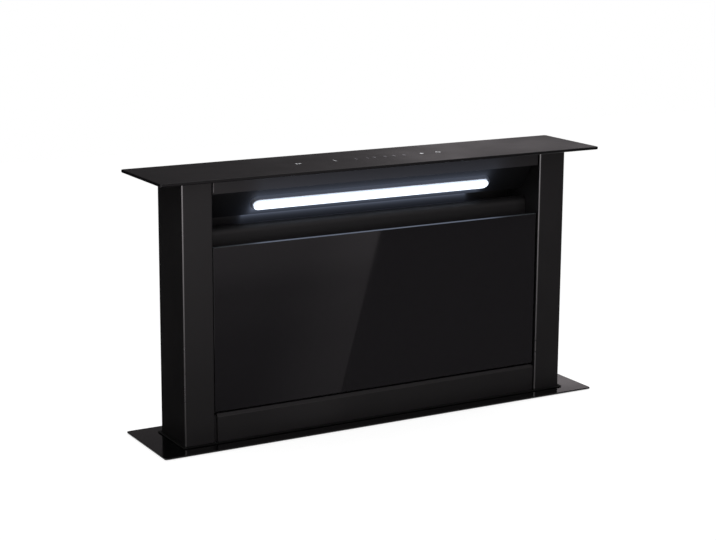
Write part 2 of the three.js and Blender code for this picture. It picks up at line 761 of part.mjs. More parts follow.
function addBlower() {
  const casing = cut(scrollSolid(SCROLL_WALL, scrollFront, scrollBack, OUTLET_X), [
    scrollSolid(0, scrollFront - 1, scrollBack - SCROLL_WALL, OUTLET_X + 1),
    alongY(disc(FAN_X, FAN_Z, INLET_RADIUS), scrollBack - 3, scrollBack + 1),
  ]);
  add("scroll_casing", casing, GALVANISED);

  // The front cover carries the motor on a ring and three arms across its opening.
  const coverBack = scrollFront - GAP;
  const coverFront = coverBack - SCROLL_WALL;
  const motorHole = alongY(disc(FAN_X, FAN_Z, 76), coverFront - 1, coverBack + 1);
  const cover = cut(scrollSolid(SCROLL_WALL, coverFront, coverBack, OUTLET_X), [motorHole]);
  const arms = [90, 210, 330].map((angle) =>
    alongY(rectangle(30, 86, -9, 9, 4), coverFront - 2, coverFront + 0.5)
      .rotate([0, -angle, 0])
      .translate(FAN_X, 0, FAN_Z),
  );
  const seat = pierced(disc(FAN_X, FAN_Z, 54), disc(FAN_X, FAN_Z, 14));
  const ring = alongY(seat, coverFront - 2, coverFront + 0.5);
  add("scroll_cover", join([cover, ring, ...arms]), GALVANISED);

  // The bell-mouth leads the air from the chassis into the eye of the impeller.
  const rim = INLET_RADIUS + 14;
  const throat = INLET_RADIUS - 7;
  const mouthCurve = arc(throat + 12.5, 10, 12, -Math.PI / 2 - 0.62, -Math.PI, 3);
  const path = [[rim, 0], [INLET_RADIUS - 0.5, 0], ...mouthCurve, [throat, 15]];
  const section = sheetCorners(path, SCROLL_WALL);
  const inlet = turned(
    [...section, section[0]].map((point) => [point.x, point.y]),
    Y_AXIS.clone().negate(),
    new THREE.Vector3(FAN_X, wallFront + SHEET + GAP, FAN_Z),
    32,
  );
  add("inlet_cone", inlet, GALVANISED);

  addImpeller();

  const motorSeat = coverFront - 2 - GAP;
  const motor = turned(
    [[0, 0], [48, 0], [48, 26], [45, 30], [45, 34], [36, 39], [14, 39], [14, 43], [0, 43]],
    Y_AXIS.clone().negate(),
    new THREE.Vector3(FAN_X, motorSeat, FAN_Z),
    28,
  );
  const shaftBore = alongY(disc(FAN_X, FAN_Z, 5.6), motorSeat - 18, motorSeat + 1);
  add("fan_motor", cut(motor, [shaftBore]), GALVANISED);

  addOutlet();
}

function addImpeller() {
  const inletSide = scrollBack - 14;
  const hubSide = scrollFront + 10;
  const ring = alongY(pierced(disc(0, 0, FAN_RADIUS), disc(0, 0, INLET_RADIUS)), inletSide - 3, inletSide);
  const hubDisc = alongY(disc(0, 0, FAN_RADIUS), hubSide, hubSide + 2);
  const boss = alongY(disc(0, 0, 13), hubSide - 2, hubSide + 14);
  const shaft = alongY(disc(0, 0, 5), scrollFront - 18, hubSide);
  const blades = 30;
  const chord = [];
  for (let i = 0; i <= 3; i++) {
    const share = i / 3;
    const radius = 76 + (FAN_RADIUS - 77) * share;
    const lean = THREE.MathUtils.degToRad(-2 - 9 * share * share);
    chord.push([radius * Math.cos(lean), radius * Math.sin(lean)]);
  }
  const blade = alongY(folded(chord, 1.4), hubSide + 1, inletSide - 1);
  const vanes = [];
  for (let i = 0; i < blades; i++) vanes.push(blade.rotate([0, (i * 360) / blades, 0]));
  const wheel = join([ring, hubDisc, boss, shaft, ...vanes]);
  add("impeller", wheel.translate(FAN_X, 0, FAN_Z), DARK_PLASTIC);
}

// ---- Outlet: a square-to-round adapter, a duct collar and two non-return flaps ----
const COLLAR_X = 140;
const COLLAR_LENGTH = 84;
const ductY = wallFront - 9 - DUCT_RADIUS;
const ductZ = (channelBottom + channelTop) / 2;
const FLAP_X = COLLAR_X + 12;

// A point of a rounded section between a rectangle (squareness 1) and a circle (squareness 0).
function outletRing(x, halfY, halfZ, middleY, radius, share, steps) {
  const points = [];
  for (let i = 0; i < steps; i++) {
    const angle = ((i + 0.5) * 2 * Math.PI) / steps;
    const c = Math.cos(angle);
    const s = Math.sin(angle);
    const reach = Math.min(halfY / Math.abs(c), halfZ / Math.abs(s));
    const square = [reach * c, reach * s];
    const y = (1 - share) * square[0] + share * radius * c + middleY;
    const z = (1 - share) * square[1] + share * radius * s + ductZ;
    points.push(new THREE.Vector3(x, y, z));
  }
  return points;
}

// A tube wall between rings of points, given as outer and inner rings in order along the tube.
function wallBetween(outer, inner) {
  const steps = outer[0].length;
  const rings = [...outer, ...inner.slice().reverse()];
  const positions = rings.flat().flatMap((point) => point.toArray());
  const index = [];
  rings.forEach((_, r) => {
    const next = (r + 1) % rings.length;
    for (let i = 0; i < steps; i++) {
      const j = (i + 1) % steps;
      const [a, b, c, d] = [r * steps + i, r * steps + j, next * steps + j, next * steps + i];
      index.push(a, b, c, a, c, d);
    }
  });
  const geometry = new THREE.BufferGeometry();
  geometry.setAttribute("position", new THREE.Float32BufferAttribute(positions, 3));
  geometry.setIndex(index);
  return solidFrom(geometry);
}

function addOutlet() {
  const steps = 36;
  const channelHalfY = SCROLL_DEPTH / 2 - SCROLL_WALL;
  const channelHalfZ = (channelTop - channelBottom) / 2;
  const channelY = (scrollBack + scrollFront) / 2;
  const rings = (extra) =>
    [0, 0.2, 0.5, 0.8, 1].map((share) => {
      const x = OUTLET_X + GAP + share * (COLLAR_X - OUTLET_X - 2 * GAP);
      const eased = share * share * (3 - 2 * share);
      const middle = (1 - eased) * channelY + eased * ductY;
      const round = DUCT_RADIUS - SCROLL_WALL + extra;
      return outletRing(x, channelHalfY + extra, channelHalfZ + extra, middle, round, eased, steps);
    });
  add("outlet_adapter", wallBetween(rings(SCROLL_WALL), rings(0)), GALVANISED);

  const inner = DUCT_RADIUS - SCROLL_WALL;
  const collar = turned(
    [
      [inner, 0],
      [DUCT_RADIUS + 7, 0],
      [DUCT_RADIUS + 7, 2],
      [DUCT_RADIUS, 2],
      [DUCT_RADIUS, COLLAR_LENGTH - 16],
      [DUCT_RADIUS + 1.5, COLLAR_LENGTH - 14],
      [DUCT_RADIUS + 1.5, COLLAR_LENGTH - 12],
      [DUCT_RADIUS, COLLAR_LENGTH - 10],
      [DUCT_RADIUS - 0.5, COLLAR_LENGTH],
      [inner, COLLAR_LENGTH],
      [inner, 0],
    ],
    X_AXIS,
    new THREE.Vector3(COLLAR_X, ductY, ductZ),
    36,
  );
  const flapGap = 4;
  const pinReach = DUCT_RADIUS + 0.5;
  const pinHoles = [-flapGap, flapGap].map((offset) =>
    alongZ(disc(FLAP_X, ductY + offset, 2.2), ductZ - pinReach - 1, ductZ + pinReach + 1),
  );
  add("duct_collar", cut(collar, pinHoles), PALE_PLASTIC);

  // Each flap is a half disc on an upright spindle, and swings open with the air.
  const flapRadius = inner - 1.2;
  const half = (side) => {
    const round = alongX(disc(ductY, ductZ, flapRadius), FLAP_X - 0.8, FLAP_X + 0.8);
    const keep = side > 0
      ? box(FLAP_X - 2, FLAP_X + 2, ductY + flapGap, ductY + 80, ductZ - 80, ductZ + 80)
      : box(FLAP_X - 2, FLAP_X + 2, ductY - 80, ductY - flapGap, ductZ - 80, ductZ + 80);
    const rod = alongZ(disc(FLAP_X, ductY + side * flapGap, 1.8), ductZ - pinReach, ductZ + pinReach);
    return round.intersect(keep).add(rod);
  };
  add("flap_rear", half(1), PALE_PLASTIC);
  add("flap_front", half(-1), PALE_PLASTIC);
}

// ---- Control box with its lid and cable gland, and the brackets that fix the chassis ----
function addFittings() {
  const [left, right, low, high] = [70, 240, -230, -110];
  const back = wallFront - GAP;
  const front = back - 42;
  const shell = alongY(rectangle(left, right, low, high, 3), front, back);
  const inside = alongY(rectangle(left + 2, right - 2, low + 2, high - 2, 2), front - 1, back - 2);
  const glandX = right - 30;
  const glandY = (front + back) / 2;
  const entry = alongZ(disc(glandX, glandY, 8.3), low - 1, low + 3);
  add("control_box", cut(shell, [inside, entry]), DARK_PLASTIC);

  const lidBack = front - GAP;
  const lid = easedPlate(rectangle(left, right, low, high, 3), -lidBack, -lidBack + 3, 0.8, TO_Y);
  add("control_lid", lid, DARK_PLASTIC);

  const gland = turned(
    [
      [4, -18],
      [7, -18],
      [9, -14],
      [11, -13],
      [11, -GAP],
      [8, -GAP],
      [8, 8],
      [4, 8],
      [4, -18],
    ],
    Z_AXIS,
    new THREE.Vector3(glandX, glandY, low),
    18,
  );
  add("cable_gland", gland, DARK_PLASTIC);

  const legBack = chassisY + GAP;
  const foot = -CHASSIS_BELOW + 5;
  const bracket = folded([[legBack, foot + 80], [legBack, foot], [legBack + 40, foot]], 2);
  const slots = [
    alongZ(rectangle(-108, -92, legBack + 18, legBack + 24, 2.9), foot - 1, foot + 3),
    alongZ(rectangle(-148, -132, legBack + 18, legBack + 24, 2.9), foot - 1, foot + 3),
  ];
  addPair("cabinet_bracket", cut(alongX(bracket, -160, -80), slots), GALVANISED);
}

addFlange();
addChassis();
addLiftDrive();
addGuides();
addColumn();
addTop();
addIntake();
addFilter();
addGlassFront();
addBlower();
addFittings();

export default group;
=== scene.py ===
import math

import bmesh
import bpy
from mathutils import Matrix, Vector


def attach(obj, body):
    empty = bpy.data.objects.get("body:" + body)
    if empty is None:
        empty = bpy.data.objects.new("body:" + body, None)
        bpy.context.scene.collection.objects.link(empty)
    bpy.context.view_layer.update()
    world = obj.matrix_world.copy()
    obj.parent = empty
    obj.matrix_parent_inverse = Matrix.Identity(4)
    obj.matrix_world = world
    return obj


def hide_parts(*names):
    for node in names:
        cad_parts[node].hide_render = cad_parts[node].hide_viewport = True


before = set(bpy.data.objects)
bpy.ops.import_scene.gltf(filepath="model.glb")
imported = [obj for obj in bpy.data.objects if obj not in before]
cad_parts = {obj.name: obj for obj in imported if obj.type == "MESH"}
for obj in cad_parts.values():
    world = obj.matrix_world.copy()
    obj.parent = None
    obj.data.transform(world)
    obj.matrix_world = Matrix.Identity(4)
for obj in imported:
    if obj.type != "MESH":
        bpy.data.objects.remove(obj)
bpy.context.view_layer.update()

# ---- Camera -----------------------------------------------------------------------------------
# A long studio lens, slightly above the lid and to the left of the column. Its place comes from a
# fit to the corners of the lid and of the flange and to the edges of the column.
image_width, focal_pixels, shift_pixels = 716, 1749.39, 27
camera_data = bpy.data.cameras.new("studio_camera")
camera_data.sensor_width = 36
camera_data.lens = focal_pixels * camera_data.sensor_width / image_width
camera_data.shift_y = -shift_pixels / image_width
yaw, pitch, roll = (math.radians(angle) for angle in (29.645, 11.809, 0.331))
forward = Vector((math.sin(yaw) * math.cos(pitch), math.cos(yaw) * math.cos(pitch), -math.sin(pitch)))
level = Vector((math.cos(yaw), -math.sin(yaw), 0))
upward = level.cross(forward)
rightward = level * math.cos(roll) + upward * math.sin(roll)
upward = upward * math.cos(roll) - level * math.sin(roll)
camera = bpy.data.objects.new("studio_camera", camera_data)
camera.matrix_world = Matrix.Translation((-1.04781, -1.8118, 0.65074)) @ Matrix(
    (rightward, upward, -forward)
).transposed().to_4x4()
bpy.context.scene.collection.objects.link(camera)
bpy.context.scene.camera = camera

# ---- Studio -----------------------------------------------------------------------------------
# A pale worktop board with the cut-out that the vent hangs in, a pale floor under the vent, a white
# surround, soft lamps, and cards from dark to bright that only the gloss of the vent sees.
bpy.context.scene.view_settings.view_transform = "Standard"


def node(tree, kind, inputs=None, **settings):
    """Adds a node with its settings; inputs holds a value or other nodes' outputs for each socket."""
    made = tree.nodes.new(kind)
    for name, value in settings.items():
        setattr(made, name, value)
    for name, value in (inputs or {}).items():
        sources = value if isinstance(value, list) else [value]
        if isinstance(sources[0], bpy.types.NodeSocket):
            for source in sources:
                tree.links.new(source, made.inputs[name])
        else:
            made.inputs[name].default_value = value
    return made


def colour(code):
    """The linear colour of an sRGB hex code."""
    channels = [int(code[i : i + 2], 16) / 255 for i in (1, 3, 5)]
    return (*[c / 12.92 if c <= 0.04045 else ((c + 0.055) / 1.055) ** 2.4 for c in channels], 1.0)


def linked(name, mesh):
    """An object for a mesh, in the scene."""
    made = bpy.data.objects.new(name, mesh)
    bpy.context.scene.collection.objects.link(made)
    return made


def seen_directly(tree):
    """1 for what the camera sees, plainly or in metal and glass, and 0 for what lights the vent."""
    path = node(tree, "ShaderNodeLightPath")
    gloss = node(
        tree,
        "ShaderNodeMath",
        {0: path.outputs["Is Glossy Ray"], 1: path.outputs["Is Transmission Ray"]},
        operation="MAXIMUM",
    )
    seen = {0: path.outputs["Is Camera Ray"], 1: gloss.outputs[0]}
    return node(tree, "ShaderNodeMath", seen, operation="MAXIMUM").outputs[0]


surround = bpy.data.worlds.new("white_surround")
surround.use_nodes = True
bpy.context.scene.world = surround
tree = surround.node_tree
tree.nodes.clear()
soft = node(tree, "ShaderNodeBackground", {"Color": (1, 1, 1, 1), "Strength": 0.72})
white = node(tree, "ShaderNodeBackground", {"Color": (1, 1, 1, 1), "Strength": 1.0})
chosen = node(
    tree, "ShaderNodeMixShader", {0: seen_directly(tree), 1: soft.outputs[0], 2: white.outputs[0]}
)
node(tree, "ShaderNodeOutputWorld", {"Surface": chosen.outputs[0]})

# Pale studio board: white where the light falls on it, and soft grey only where the vent shades it.
pale_board = bpy.data.materials.new("pale_studio_board")
pale_board.use_nodes = True
tree = pale_board.node_tree
tree.nodes.clear()
place = node(tree, "ShaderNodeTexCoord")
grain = node(
    tree, "ShaderNodeTexNoise", {"Vector": place.outputs["Object"], "Scale": 40.0, "Detail": 2.0}
)
tint = node(
    tree,
    "ShaderNodeMix",
    {0: grain.outputs["Fac"], 6: colour("#f4f4f4"), 7: colour("#fbfbfb")},
    data_type="RGBA",
)
matt = node(tree, "ShaderNodeBsdfDiffuse", {"Color": tint.outputs[2]})
lit = node(tree, "ShaderNodeEmission", {"Color": (1, 1, 1, 1), "Strength": 1.25})
share = node(tree, "ShaderNodeMath", {0: seen_directly(tree), 1: 0.58}, operation="MULTIPLY")
board_mix = node(
    tree, "ShaderNodeMixShader", {0: share.outputs[0], 1: matt.outputs[0], 2: lit.outputs[0]}
)
node(tree, "ShaderNodeOutputMaterial", {"Surface": board_mix.outputs[0]})


def flat_ring(name, outer, inner, low, high):
    """A flat board with a rectangular opening; outer and inner are (x0, x1, y0, y1)."""
    mesh = bpy.data.meshes.new(name)
    bm = bmesh.new()
    rings = []
    for x0, x1, y0, y1 in (outer, inner):
        for z in (low, high):
            rings.append([bm.verts.new((x, y, z)) for x, y in ((x0, y0), (x1, y0), (x1, y1), (x0, y1))])
    outer_low, outer_high, inner_low, inner_high = rings
    for i in range(4):
        j = (i + 1) % 4
        bm.faces.new((outer_low[i], outer_low[j], outer_high[j], outer_high[i]))
        bm.faces.new((inner_low[j], inner_low[i], inner_high[i], inner_high[j]))
        bm.faces.new((outer_high[i], outer_high[j], inner_high[j], inner_high[i]))
        bm.faces.new((outer_low[j], outer_low[i], inner_low[i], inner_low[j]))
    bm.to_mesh(mesh)
    bm.free()
    return linked(name, mesh)


board_edge, cut_out = (-0.46, 0.46, -0.53, 0.11), (-0.280, 0.280, -0.0515, 0.0535)
worktop = flat_ring("worktop_board", board_edge, cut_out, -0.008, -0.0002)
worktop.data.materials.append(pale_board)
floor = flat_ring("studio_floor", (-6, 6, -6, 6), (-0.001, 0.001, -0.001, 0.001), -0.674, -0.664)
floor.data.materials.append(pale_board)


def soft_lamp(name, place, target, size, power):
    """A square soft box that looks at a point of the vent."""
    data = bpy.data.lights.new(name, "AREA")
    data.shape = "SQUARE"
    data.size = size
    data.energy = power
    lamp = bpy.data.objects.new(name, data)
    lamp.location = place
    lamp.rotation_euler = (Vector(target) - Vector(place)).to_track_quat("-Z", "Y").to_euler()
    lamp.visible_glossy = False
    bpy.context.scene.collection.objects.link(lamp)


soft_lamp("key_soft_box", (-1.6, -1.9, 1.9), (0, 0, 0.1), 1.4, 34)
soft_lamp("fill_soft_box", (2.2, 0.6, 1.6), (0, 0, 0), 1.6, 16)


def card(name, corners, greys, along=0):
    """A card that only reflections see; greys holds (place in metres, strength) along an axis."""
    mesh = bpy.data.meshes.new(name)
    mesh.from_pydata(corners, [], [tuple(range(len(corners)))])
    made = linked(name, mesh)
    for ray in ("camera", "diffuse", "transmission", "shadow", "volume_scatter"):
        setattr(made, "visible_" + ray, False)
    paint = bpy.data.materials.new(name + "_grey")
    paint.use_nodes = True
    tree = paint.node_tree
    tree.nodes.clear()
    place = node(tree, "ShaderNodeTexCoord")
    split = node(tree, "ShaderNodeSeparateXYZ", {0: place.outputs["Object"]})
    first, last = greys[0][0], greys[-1][0]
    share = node(
        tree, "ShaderNodeMapRange", {"Value": split.outputs[along], "From Min": first, "From Max": last}
    )
    shades = node(tree, "ShaderNodeValToRGB", {0: share.outputs[0]})
    shades.color_ramp.interpolation = "EASE"
    peak = max(strength for _, strength in greys)
    while len(shades.color_ramp.elements) < len(greys):
        shades.color_ramp.elements.new(1.0)
    for stop, (at, strength) in zip(shades.color_ramp.elements, greys):
        stop.position = (at - first) / (last - first)
        stop.color = (*[strength / peak] * 3, 1.0)
    grey = node(tree, "ShaderNodeMath", {0: shades.outputs[0], 1: peak}, operation="MULTIPLY")
    glow = node(tree, "ShaderNodeEmission", {"Color": colour("#fff6fa"), "Strength": grey.outputs[0]})
    node(tree, "ShaderNodeOutputMaterial", {"Surface": glow.outputs[0]})
    mesh.materials.append(paint)
    return tree, split, grey, glow


# The cards in front of the vent line a room with these limits.
room_front, room_left, room_right, room_top = -2.6, -1.0, 3.2, 2.2
card_floor, column_near, back_y, seam_z = 0.001, -0.06, 1.5, 0.58

# The edge that the glass shows as a slanting line runs over the floor from here to there.
line_start, line_end = (0.0048, -0.1436), (0.5521, -0.9837)
line_slope = (line_end[0] - line_start[0]) / (line_end[1] - line_start[1])
line_at_far = line_start[0] + line_slope * (room_front - line_start[1])
line_at_near = line_start[0] + line_slope * (column_near - line_start[1])

tree, split, grey, glow = card(
    "floor_card_left",
    [(-0.33, column_near, card_floor), (room_left, room_front, card_floor),
     (line_at_far, room_front, card_floor), (line_at_near, column_near, card_floor)],
    [(room_front, 0.8), (-1.5, 0.6), (-0.93, 0.3), (-0.66, 0.165), (-0.35, 0.11), (column_near, 0.08)],
    1,
)
line_x = node(
    tree,
    "ShaderNodeMath",
    {0: split.outputs[1], 1: line_slope, 2: line_start[0] - line_slope * line_start[1]},
    operation="MULTIPLY_ADD",
)
gap = node(tree, "ShaderNodeMath", {0: line_x.outputs[0], 1: split.outputs[0]}, operation="SUBTRACT")
bright_edge = node(
    tree,
    "ShaderNodeMapRange",
    {"Value": gap.outputs[0], "From Min": 0.0, "From Max": 0.16, "To Min": 0.14, "To Max": 0.0},
    interpolation_type="SMOOTHSTEP",
)
both = node(tree, "ShaderNodeMath", {0: grey.outputs[0], 1: bright_edge.outputs[0]}, operation="ADD")
tree.links.new(both.outputs[0], glow.inputs["Strength"])

card(
    "floor_card_right",
    [(line_at_near, column_near, card_floor), (line_at_far, room_front, card_floor),
     (room_right, room_front, card_floor), (room_right, column_near, card_floor)],
    [(room_front, 0.05), (-1.3, 0.06), (-0.85, 0.11), (column_near, 0.11)],
    1,
)
card(
    "floor_card_side",
    [(x, y, card_floor) for x, y in (
        (-0.46, -0.4), (-0.42, -0.4), (-0.331, -0.06), (-0.302, -0.058),
        (-0.302, 0.06), (0.46, 0.06), (0.46, 0.109), (-0.46, 0.109),
    )],
    [(-0.4, 0.1), (-0.06, 0.03), (0.109, 0.02)],
    1,
)
card(
    "front_card_right",
    [(line_at_far, room_front, 0.0), (room_right, room_front, 0.0),
     (room_right, room_front, room_top), (line_at_far, room_front, room_top)],
    [(0.0, 0.04), (room_top, 0.07)],
    2,
)
card(
    "front_card_left",
    [(room_left, room_front, 0.0), (line_at_far, room_front, 0.0),
     (line_at_far, room_front, room_top), (room_left, room_front, room_top)],
    [(0.0, 0.62), (room_top, 0.62)],
    2,
)
card(
    "front_canopy",
    [(room_left, room_front, room_top), (room_right, room_front, room_top),
     (room_right, -0.15, room_top), (room_left, -0.15, room_top)],
    [(room_front, 0.22), (-0.9, 0.22), (-0.15, 0.32)],
    1,
)
card(
    "side_card_right",
    [(room_right, room_front, 0.0), (room_right, -0.3, 0.0),
     (room_right, -0.3, room_top), (room_right, room_front, room_top)],
    [(0.0, 0.1), (room_top, 0.13)],
    2,
)
card(
    "back_card_low",
    [(-0.1, back_y, -0.6), (2.6, back_y, -0.6), (2.6, back_y, seam_z), (-0.1, back_y, seam_z)],
    [(0.3, 0.12), (0.52, 0.16), (0.8, 0.25), (1.1, 0.78), (1.6, 0.8)],
)
card(
    "back_card_high",
    [(-0.1, back_y, seam_z), (2.6, back_y, seam_z), (2.6, back_y, 1.8), (-0.1, back_y, 1.8)],
    [(0.35, 0.05), (0.53, 0.054), (0.65, 0.071), (0.82, 0.11),
     (0.98, 0.2), (1.08, 0.3), (1.15, 0.15), (1.4, 0.12)],
)
card(
    "left_card",
    [(-1.9, 0.1, -0.66), (-0.1, back_y, -0.66), (-0.1, back_y, 1.6), (-1.9, 0.1, 1.6)],
    [(-0.9, 0.012), (-0.2, 0.03)],
)
card(
    "left_card_near",
    [(-1.9, -0.5, -0.66), (-1.9, 0.1, -0.66), (-1.9, 0.1, 1.6), (-1.9, -0.5, 1.6)],
    [(-0.5, 0.05), (0.1, 0.012)],
    1,
)
# Two bright strips draw the fine light line down the left front corner of each pilaster.
card(
    "corner_strip_left",
    [(-0.42, -0.24, -0.1), (-0.42, -0.04, -0.1), (-0.42, -0.04, 0.31), (-0.42, -0.24, 0.31)],
    [(-0.1, 0.1), (0.015, 0.25), (0.14, 0.38), (0.225, 0.8), (0.27, 1.15)],
    2,
)
card(
    "corner_strip_right",
    [(-0.87, -0.75, -0.6), (-0.87, -0.1, -0.6), (-0.87, -0.1, 0.3), (-0.87, -0.75, 0.3)],
    [(-0.23, 0.2), (-0.16, 0.35), (-0.097, 0.8), (-0.03, 1.5), (0.05, 1.9)],
    2,
)


# ---- Chassis ------------------------------------------------------------------------------------
# A box of galvanised sheet that hangs in the cabinet: front, back, two flanged sides and a base
# cover. The sheets are cut, bent and riveted, so every edge is a little rounded.
def surface(name, base, roughness, metallic=0.0, ior=None, specular=None):
    """A material with its principled shader and the object coordinates that its patterns read."""
    made = bpy.data.materials.new(name)
    made.use_nodes = True
    tree = made.node_tree
    shader = tree.nodes["Principled BSDF"]
    shader.inputs["Base Color"].default_value = colour(base)
    shader.inputs["Roughness"].default_value = roughness
    shader.inputs["Metallic"].default_value = metallic
    if ior is not None:
        shader.inputs["IOR"].default_value = ior
    if specular is not None:
        shader.inputs["Specular IOR Level"].default_value = specular
    place = node(tree, "ShaderNodeTexCoord")
    return made, tree, shader, place.outputs["Object"]


def mottled(tree, shader, base, other, place, size_mm, detail=3.0):
    """Varies the colour between two close shades in patches of about size_mm."""
    patches = node(
        tree, "ShaderNodeTexNoise", {"Vector": place, "Scale": 1000 / size_mm, "Detail": detail}
    )
    mix = node(
        tree,
        "ShaderNodeMix",
        {0: patches.outputs["Fac"], 6: colour(base), 7: colour(other)},
        data_type="RGBA",
    )
    tree.links.new(mix.outputs[2], shader.inputs["Base Color"])


def wandering_roughness(tree, shader, place, size_mm, low, high):
    """Lets the roughness wander between two values, as on a wiped and handled surface."""
    patches = node(tree, "ShaderNodeTexNoise", {"Vector": place, "Scale": 1000 / size_mm, "Detail": 4.0})
    spread = node(
        tree,
        "ShaderNodeMapRange",
        {"Value": patches.outputs["Fac"], "From Min": 0.3, "From Max": 0.7,
         "To Min": low, "To Max": high},
    )
    tree.links.new(spread.outputs[0], shader.inputs["Roughness"])


def grained(tree, shader, place, size_mm, height_mm, strength=1.0):
    """Raises a fine grain of about size_mm on the surface."""
    grain = node(tree, "ShaderNodeTexNoise", {"Vector": place, "Scale": 1000 / size_mm, "Detail": 2.0})
    bump = node(
        tree,
        "ShaderNodeBump",
        {"Height": grain.outputs["Fac"], "Distance": height_mm / 1000, "Strength": strength},
    )
    tree.links.new(bump.outputs[0], shader.inputs["Normal"])


def painted(material, *names):
    """Gives CAD nodes that stay as they are a finish."""
    for name in names:
        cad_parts[name].data.materials[0] = material


def finished(name, cad_name, body, slot, material, ease_mm=0.3, steps=2, smooth_deg=32):
    """A clean copy of a CAD solid with its edges eased, in place of that solid."""
    mesh = bpy.data.meshes.new(name)
    bm = bmesh.new()
    bm.from_mesh(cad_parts[cad_name].data)
    bmesh.ops.remove_doubles(bm, verts=bm.verts, dist=2e-6)
    bmesh.ops.dissolve_limit(bm, angle_limit=math.radians(0.4), verts=bm.verts, edges=bm.edges)
    for face in bm.faces:
        face.smooth = True
    for edge in bm.edges:
        edge.smooth = len(edge.link_faces) == 2 and edge.calc_face_angle(0) < math.radians(smooth_deg)
    bm.to_mesh(mesh)
    bm.free()
    made = linked(name, mesh)
    if ease_mm:
        easing = made.modifiers.new("eased_edges", "BEVEL")
        easing.width = ease_mm / 1000
        easing.segments = steps
        easing.limit_method = "ANGLE"
        easing.angle_limit = math.radians(smooth_deg)
    flatness = made.modifiers.new("flat_faces_stay_flat", "WEIGHTED_NORMAL")
    flatness.keep_sharp = True
    mesh.materials.append(material)
    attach(made, body)
    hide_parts(cad_name)
    return made


# Hot-dip galvanised steel: the zinc froze into crystals of about 9 mm, each with its own tone.
galvanised, tree, shader, place = surface("hot_dip_galvanised_steel", "#a9adaf", 0.42, metallic=1.0)
crystals = node(tree, "ShaderNodeTexVoronoi", {"Vector": place, "Scale": 1000 / 9.0})
tone = node(tree, "ShaderNodeSeparateColor", {0: crystals.outputs["Color"]})
zinc = node(
    tree,
    "ShaderNodeMix",
    {0: tone.outputs[0], 6: colour("#a3a7aa"), 7: colour("#b1b5b7")},
    data_type="RGBA",
)
tree.links.new(zinc.outputs[2], shader.inputs["Base Color"])
sheen = node(
    tree,
    "ShaderNodeMapRange",
    {"Value": tone.outputs[1], "From Min": 0.0, "From Max": 1.0, "To Min": 0.4, "To Max": 0.47},
)
tree.links.new(sheen.outputs[0], shader.inputs["Roughness"])
grained(tree, shader, place, 3.0, 0.01, 0.4)

for side in ("front", "rear", "side_left", "side_right"):
    finished("zinc_" + side, "chassis_" + side, "chassis", "galvanised_steel", galvanised, 0.25)
finished("zinc_base_cover", "base_cover", "chassis", "galvanised_steel", galvanised, 0.25)
finished("zinc_deck", "drive_deck", "chassis", "galvanised_steel", galvanised, 0.25)


def growth(name, *sizes):
    """An empty geometry tree with a named input for the points, for each size and for the finish."""
    tree = bpy.data.node_groups.new(name, "GeometryNodeTree")
    tree.interface.new_socket("Geometry", in_out="OUTPUT", socket_type="NodeSocketGeometry")
    tree.interface.new_socket("Geometry", in_out="INPUT", socket_type="NodeSocketGeometry")
    for size in sizes:
        tree.interface.new_socket(size, in_out="INPUT", socket_type="NodeSocketFloat")
    tree.interface.new_socket("Material", in_out="INPUT", socket_type="NodeSocketMaterial")
    return tree, node(tree, "NodeGroupInput").outputs


def ended(tree, given, geometry):
    """Ends a geometry tree: real faces with the finish on them."""
    whole = node(tree, "GeometryNodeRealizeInstances", {"Geometry": geometry})
    dressed = node(
        tree, "GeometryNodeSetMaterial", {"Geometry": whole.outputs[0], "Material": given["Material"]}
    )
    node(tree, "NodeGroupOutput", {"Geometry": dressed.outputs[0]})


def grown(name, tree, spots, sizes, body, material):
    """A plain mesh from a geometry tree run on spots, each (place, facing) in millimetres."""
    seeds = bpy.data.meshes.new(name + "_spots")
    seeds.from_pydata([Vector(spot) / 1000 for spot, _ in spots], [], [])
    facing = seeds.attributes.new("facing", "FLOAT_VECTOR", "POINT")
    for entry, (_, direction) in zip(facing.data, spots):
        entry.vector = Vector(direction)
    host = linked(name, seeds)
    growing = host.modifiers.new("growing", "NODES")
    growing.node_group = tree
    values = {**sizes, "Material": material}
    for socket in tree.interface.items_tree:
        if socket.in_out == "INPUT" and socket.name in values:
            growing[socket.identifier] = values[socket.name]
    ready = host.evaluated_get(bpy.context.evaluated_depsgraph_get())
    plain = bpy.data.meshes.new_from_object(ready)
    plain.name = name
    host.modifiers.remove(growing)
    host.data = plain
    if not plain.materials:
        plain.materials.append(material)
    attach(host, body)
    return host


# Heads of rivets and screws: a low round head with an eased crown, and a recess where it is a screw.
heads, given = growth("fastener_heads", "Radius", "Height", "Recess", "Depth")
foot = node(
    heads, "GeometryNodeMeshCircle", {"Vertices": 12, "Radius": given["Radius"]}, fill_type="NGON"
)
wall_height = node(heads, "ShaderNodeMath", {0: given["Height"], 1: 0.55}, operation="MULTIPLY")
crown_height = node(heads, "ShaderNodeMath", {0: given["Height"], 1: 0.45}, operation="MULTIPLY")
sunk = node(heads, "ShaderNodeMath", {0: given["Depth"], 1: -1.0}, operation="MULTIPLY")
wall = node(
    heads,
    "GeometryNodeExtrudeMesh",
    {"Mesh": foot.outputs[0], "Offset Scale": wall_height.outputs[0], "Individual": False},
)
crown = node(
    heads,
    "GeometryNodeExtrudeMesh",
    {"Mesh": wall.outputs[0], "Selection": wall.outputs[1], "Offset Scale": crown_height.outputs[0]},
)
eased = node(
    heads,
    "GeometryNodeScaleElements",
    {"Geometry": crown.outputs[0], "Selection": crown.outputs[1], "Scale": 0.72},
)
rim = node(
    heads,
    "GeometryNodeExtrudeMesh",
    {"Mesh": eased.outputs[0], "Selection": crown.outputs[1], "Offset Scale": 0.0},
)
mouth = node(
    heads,
    "GeometryNodeScaleElements",
    {"Geometry": rim.outputs[0], "Selection": rim.outputs[1], "Scale": given["Recess"]},
)
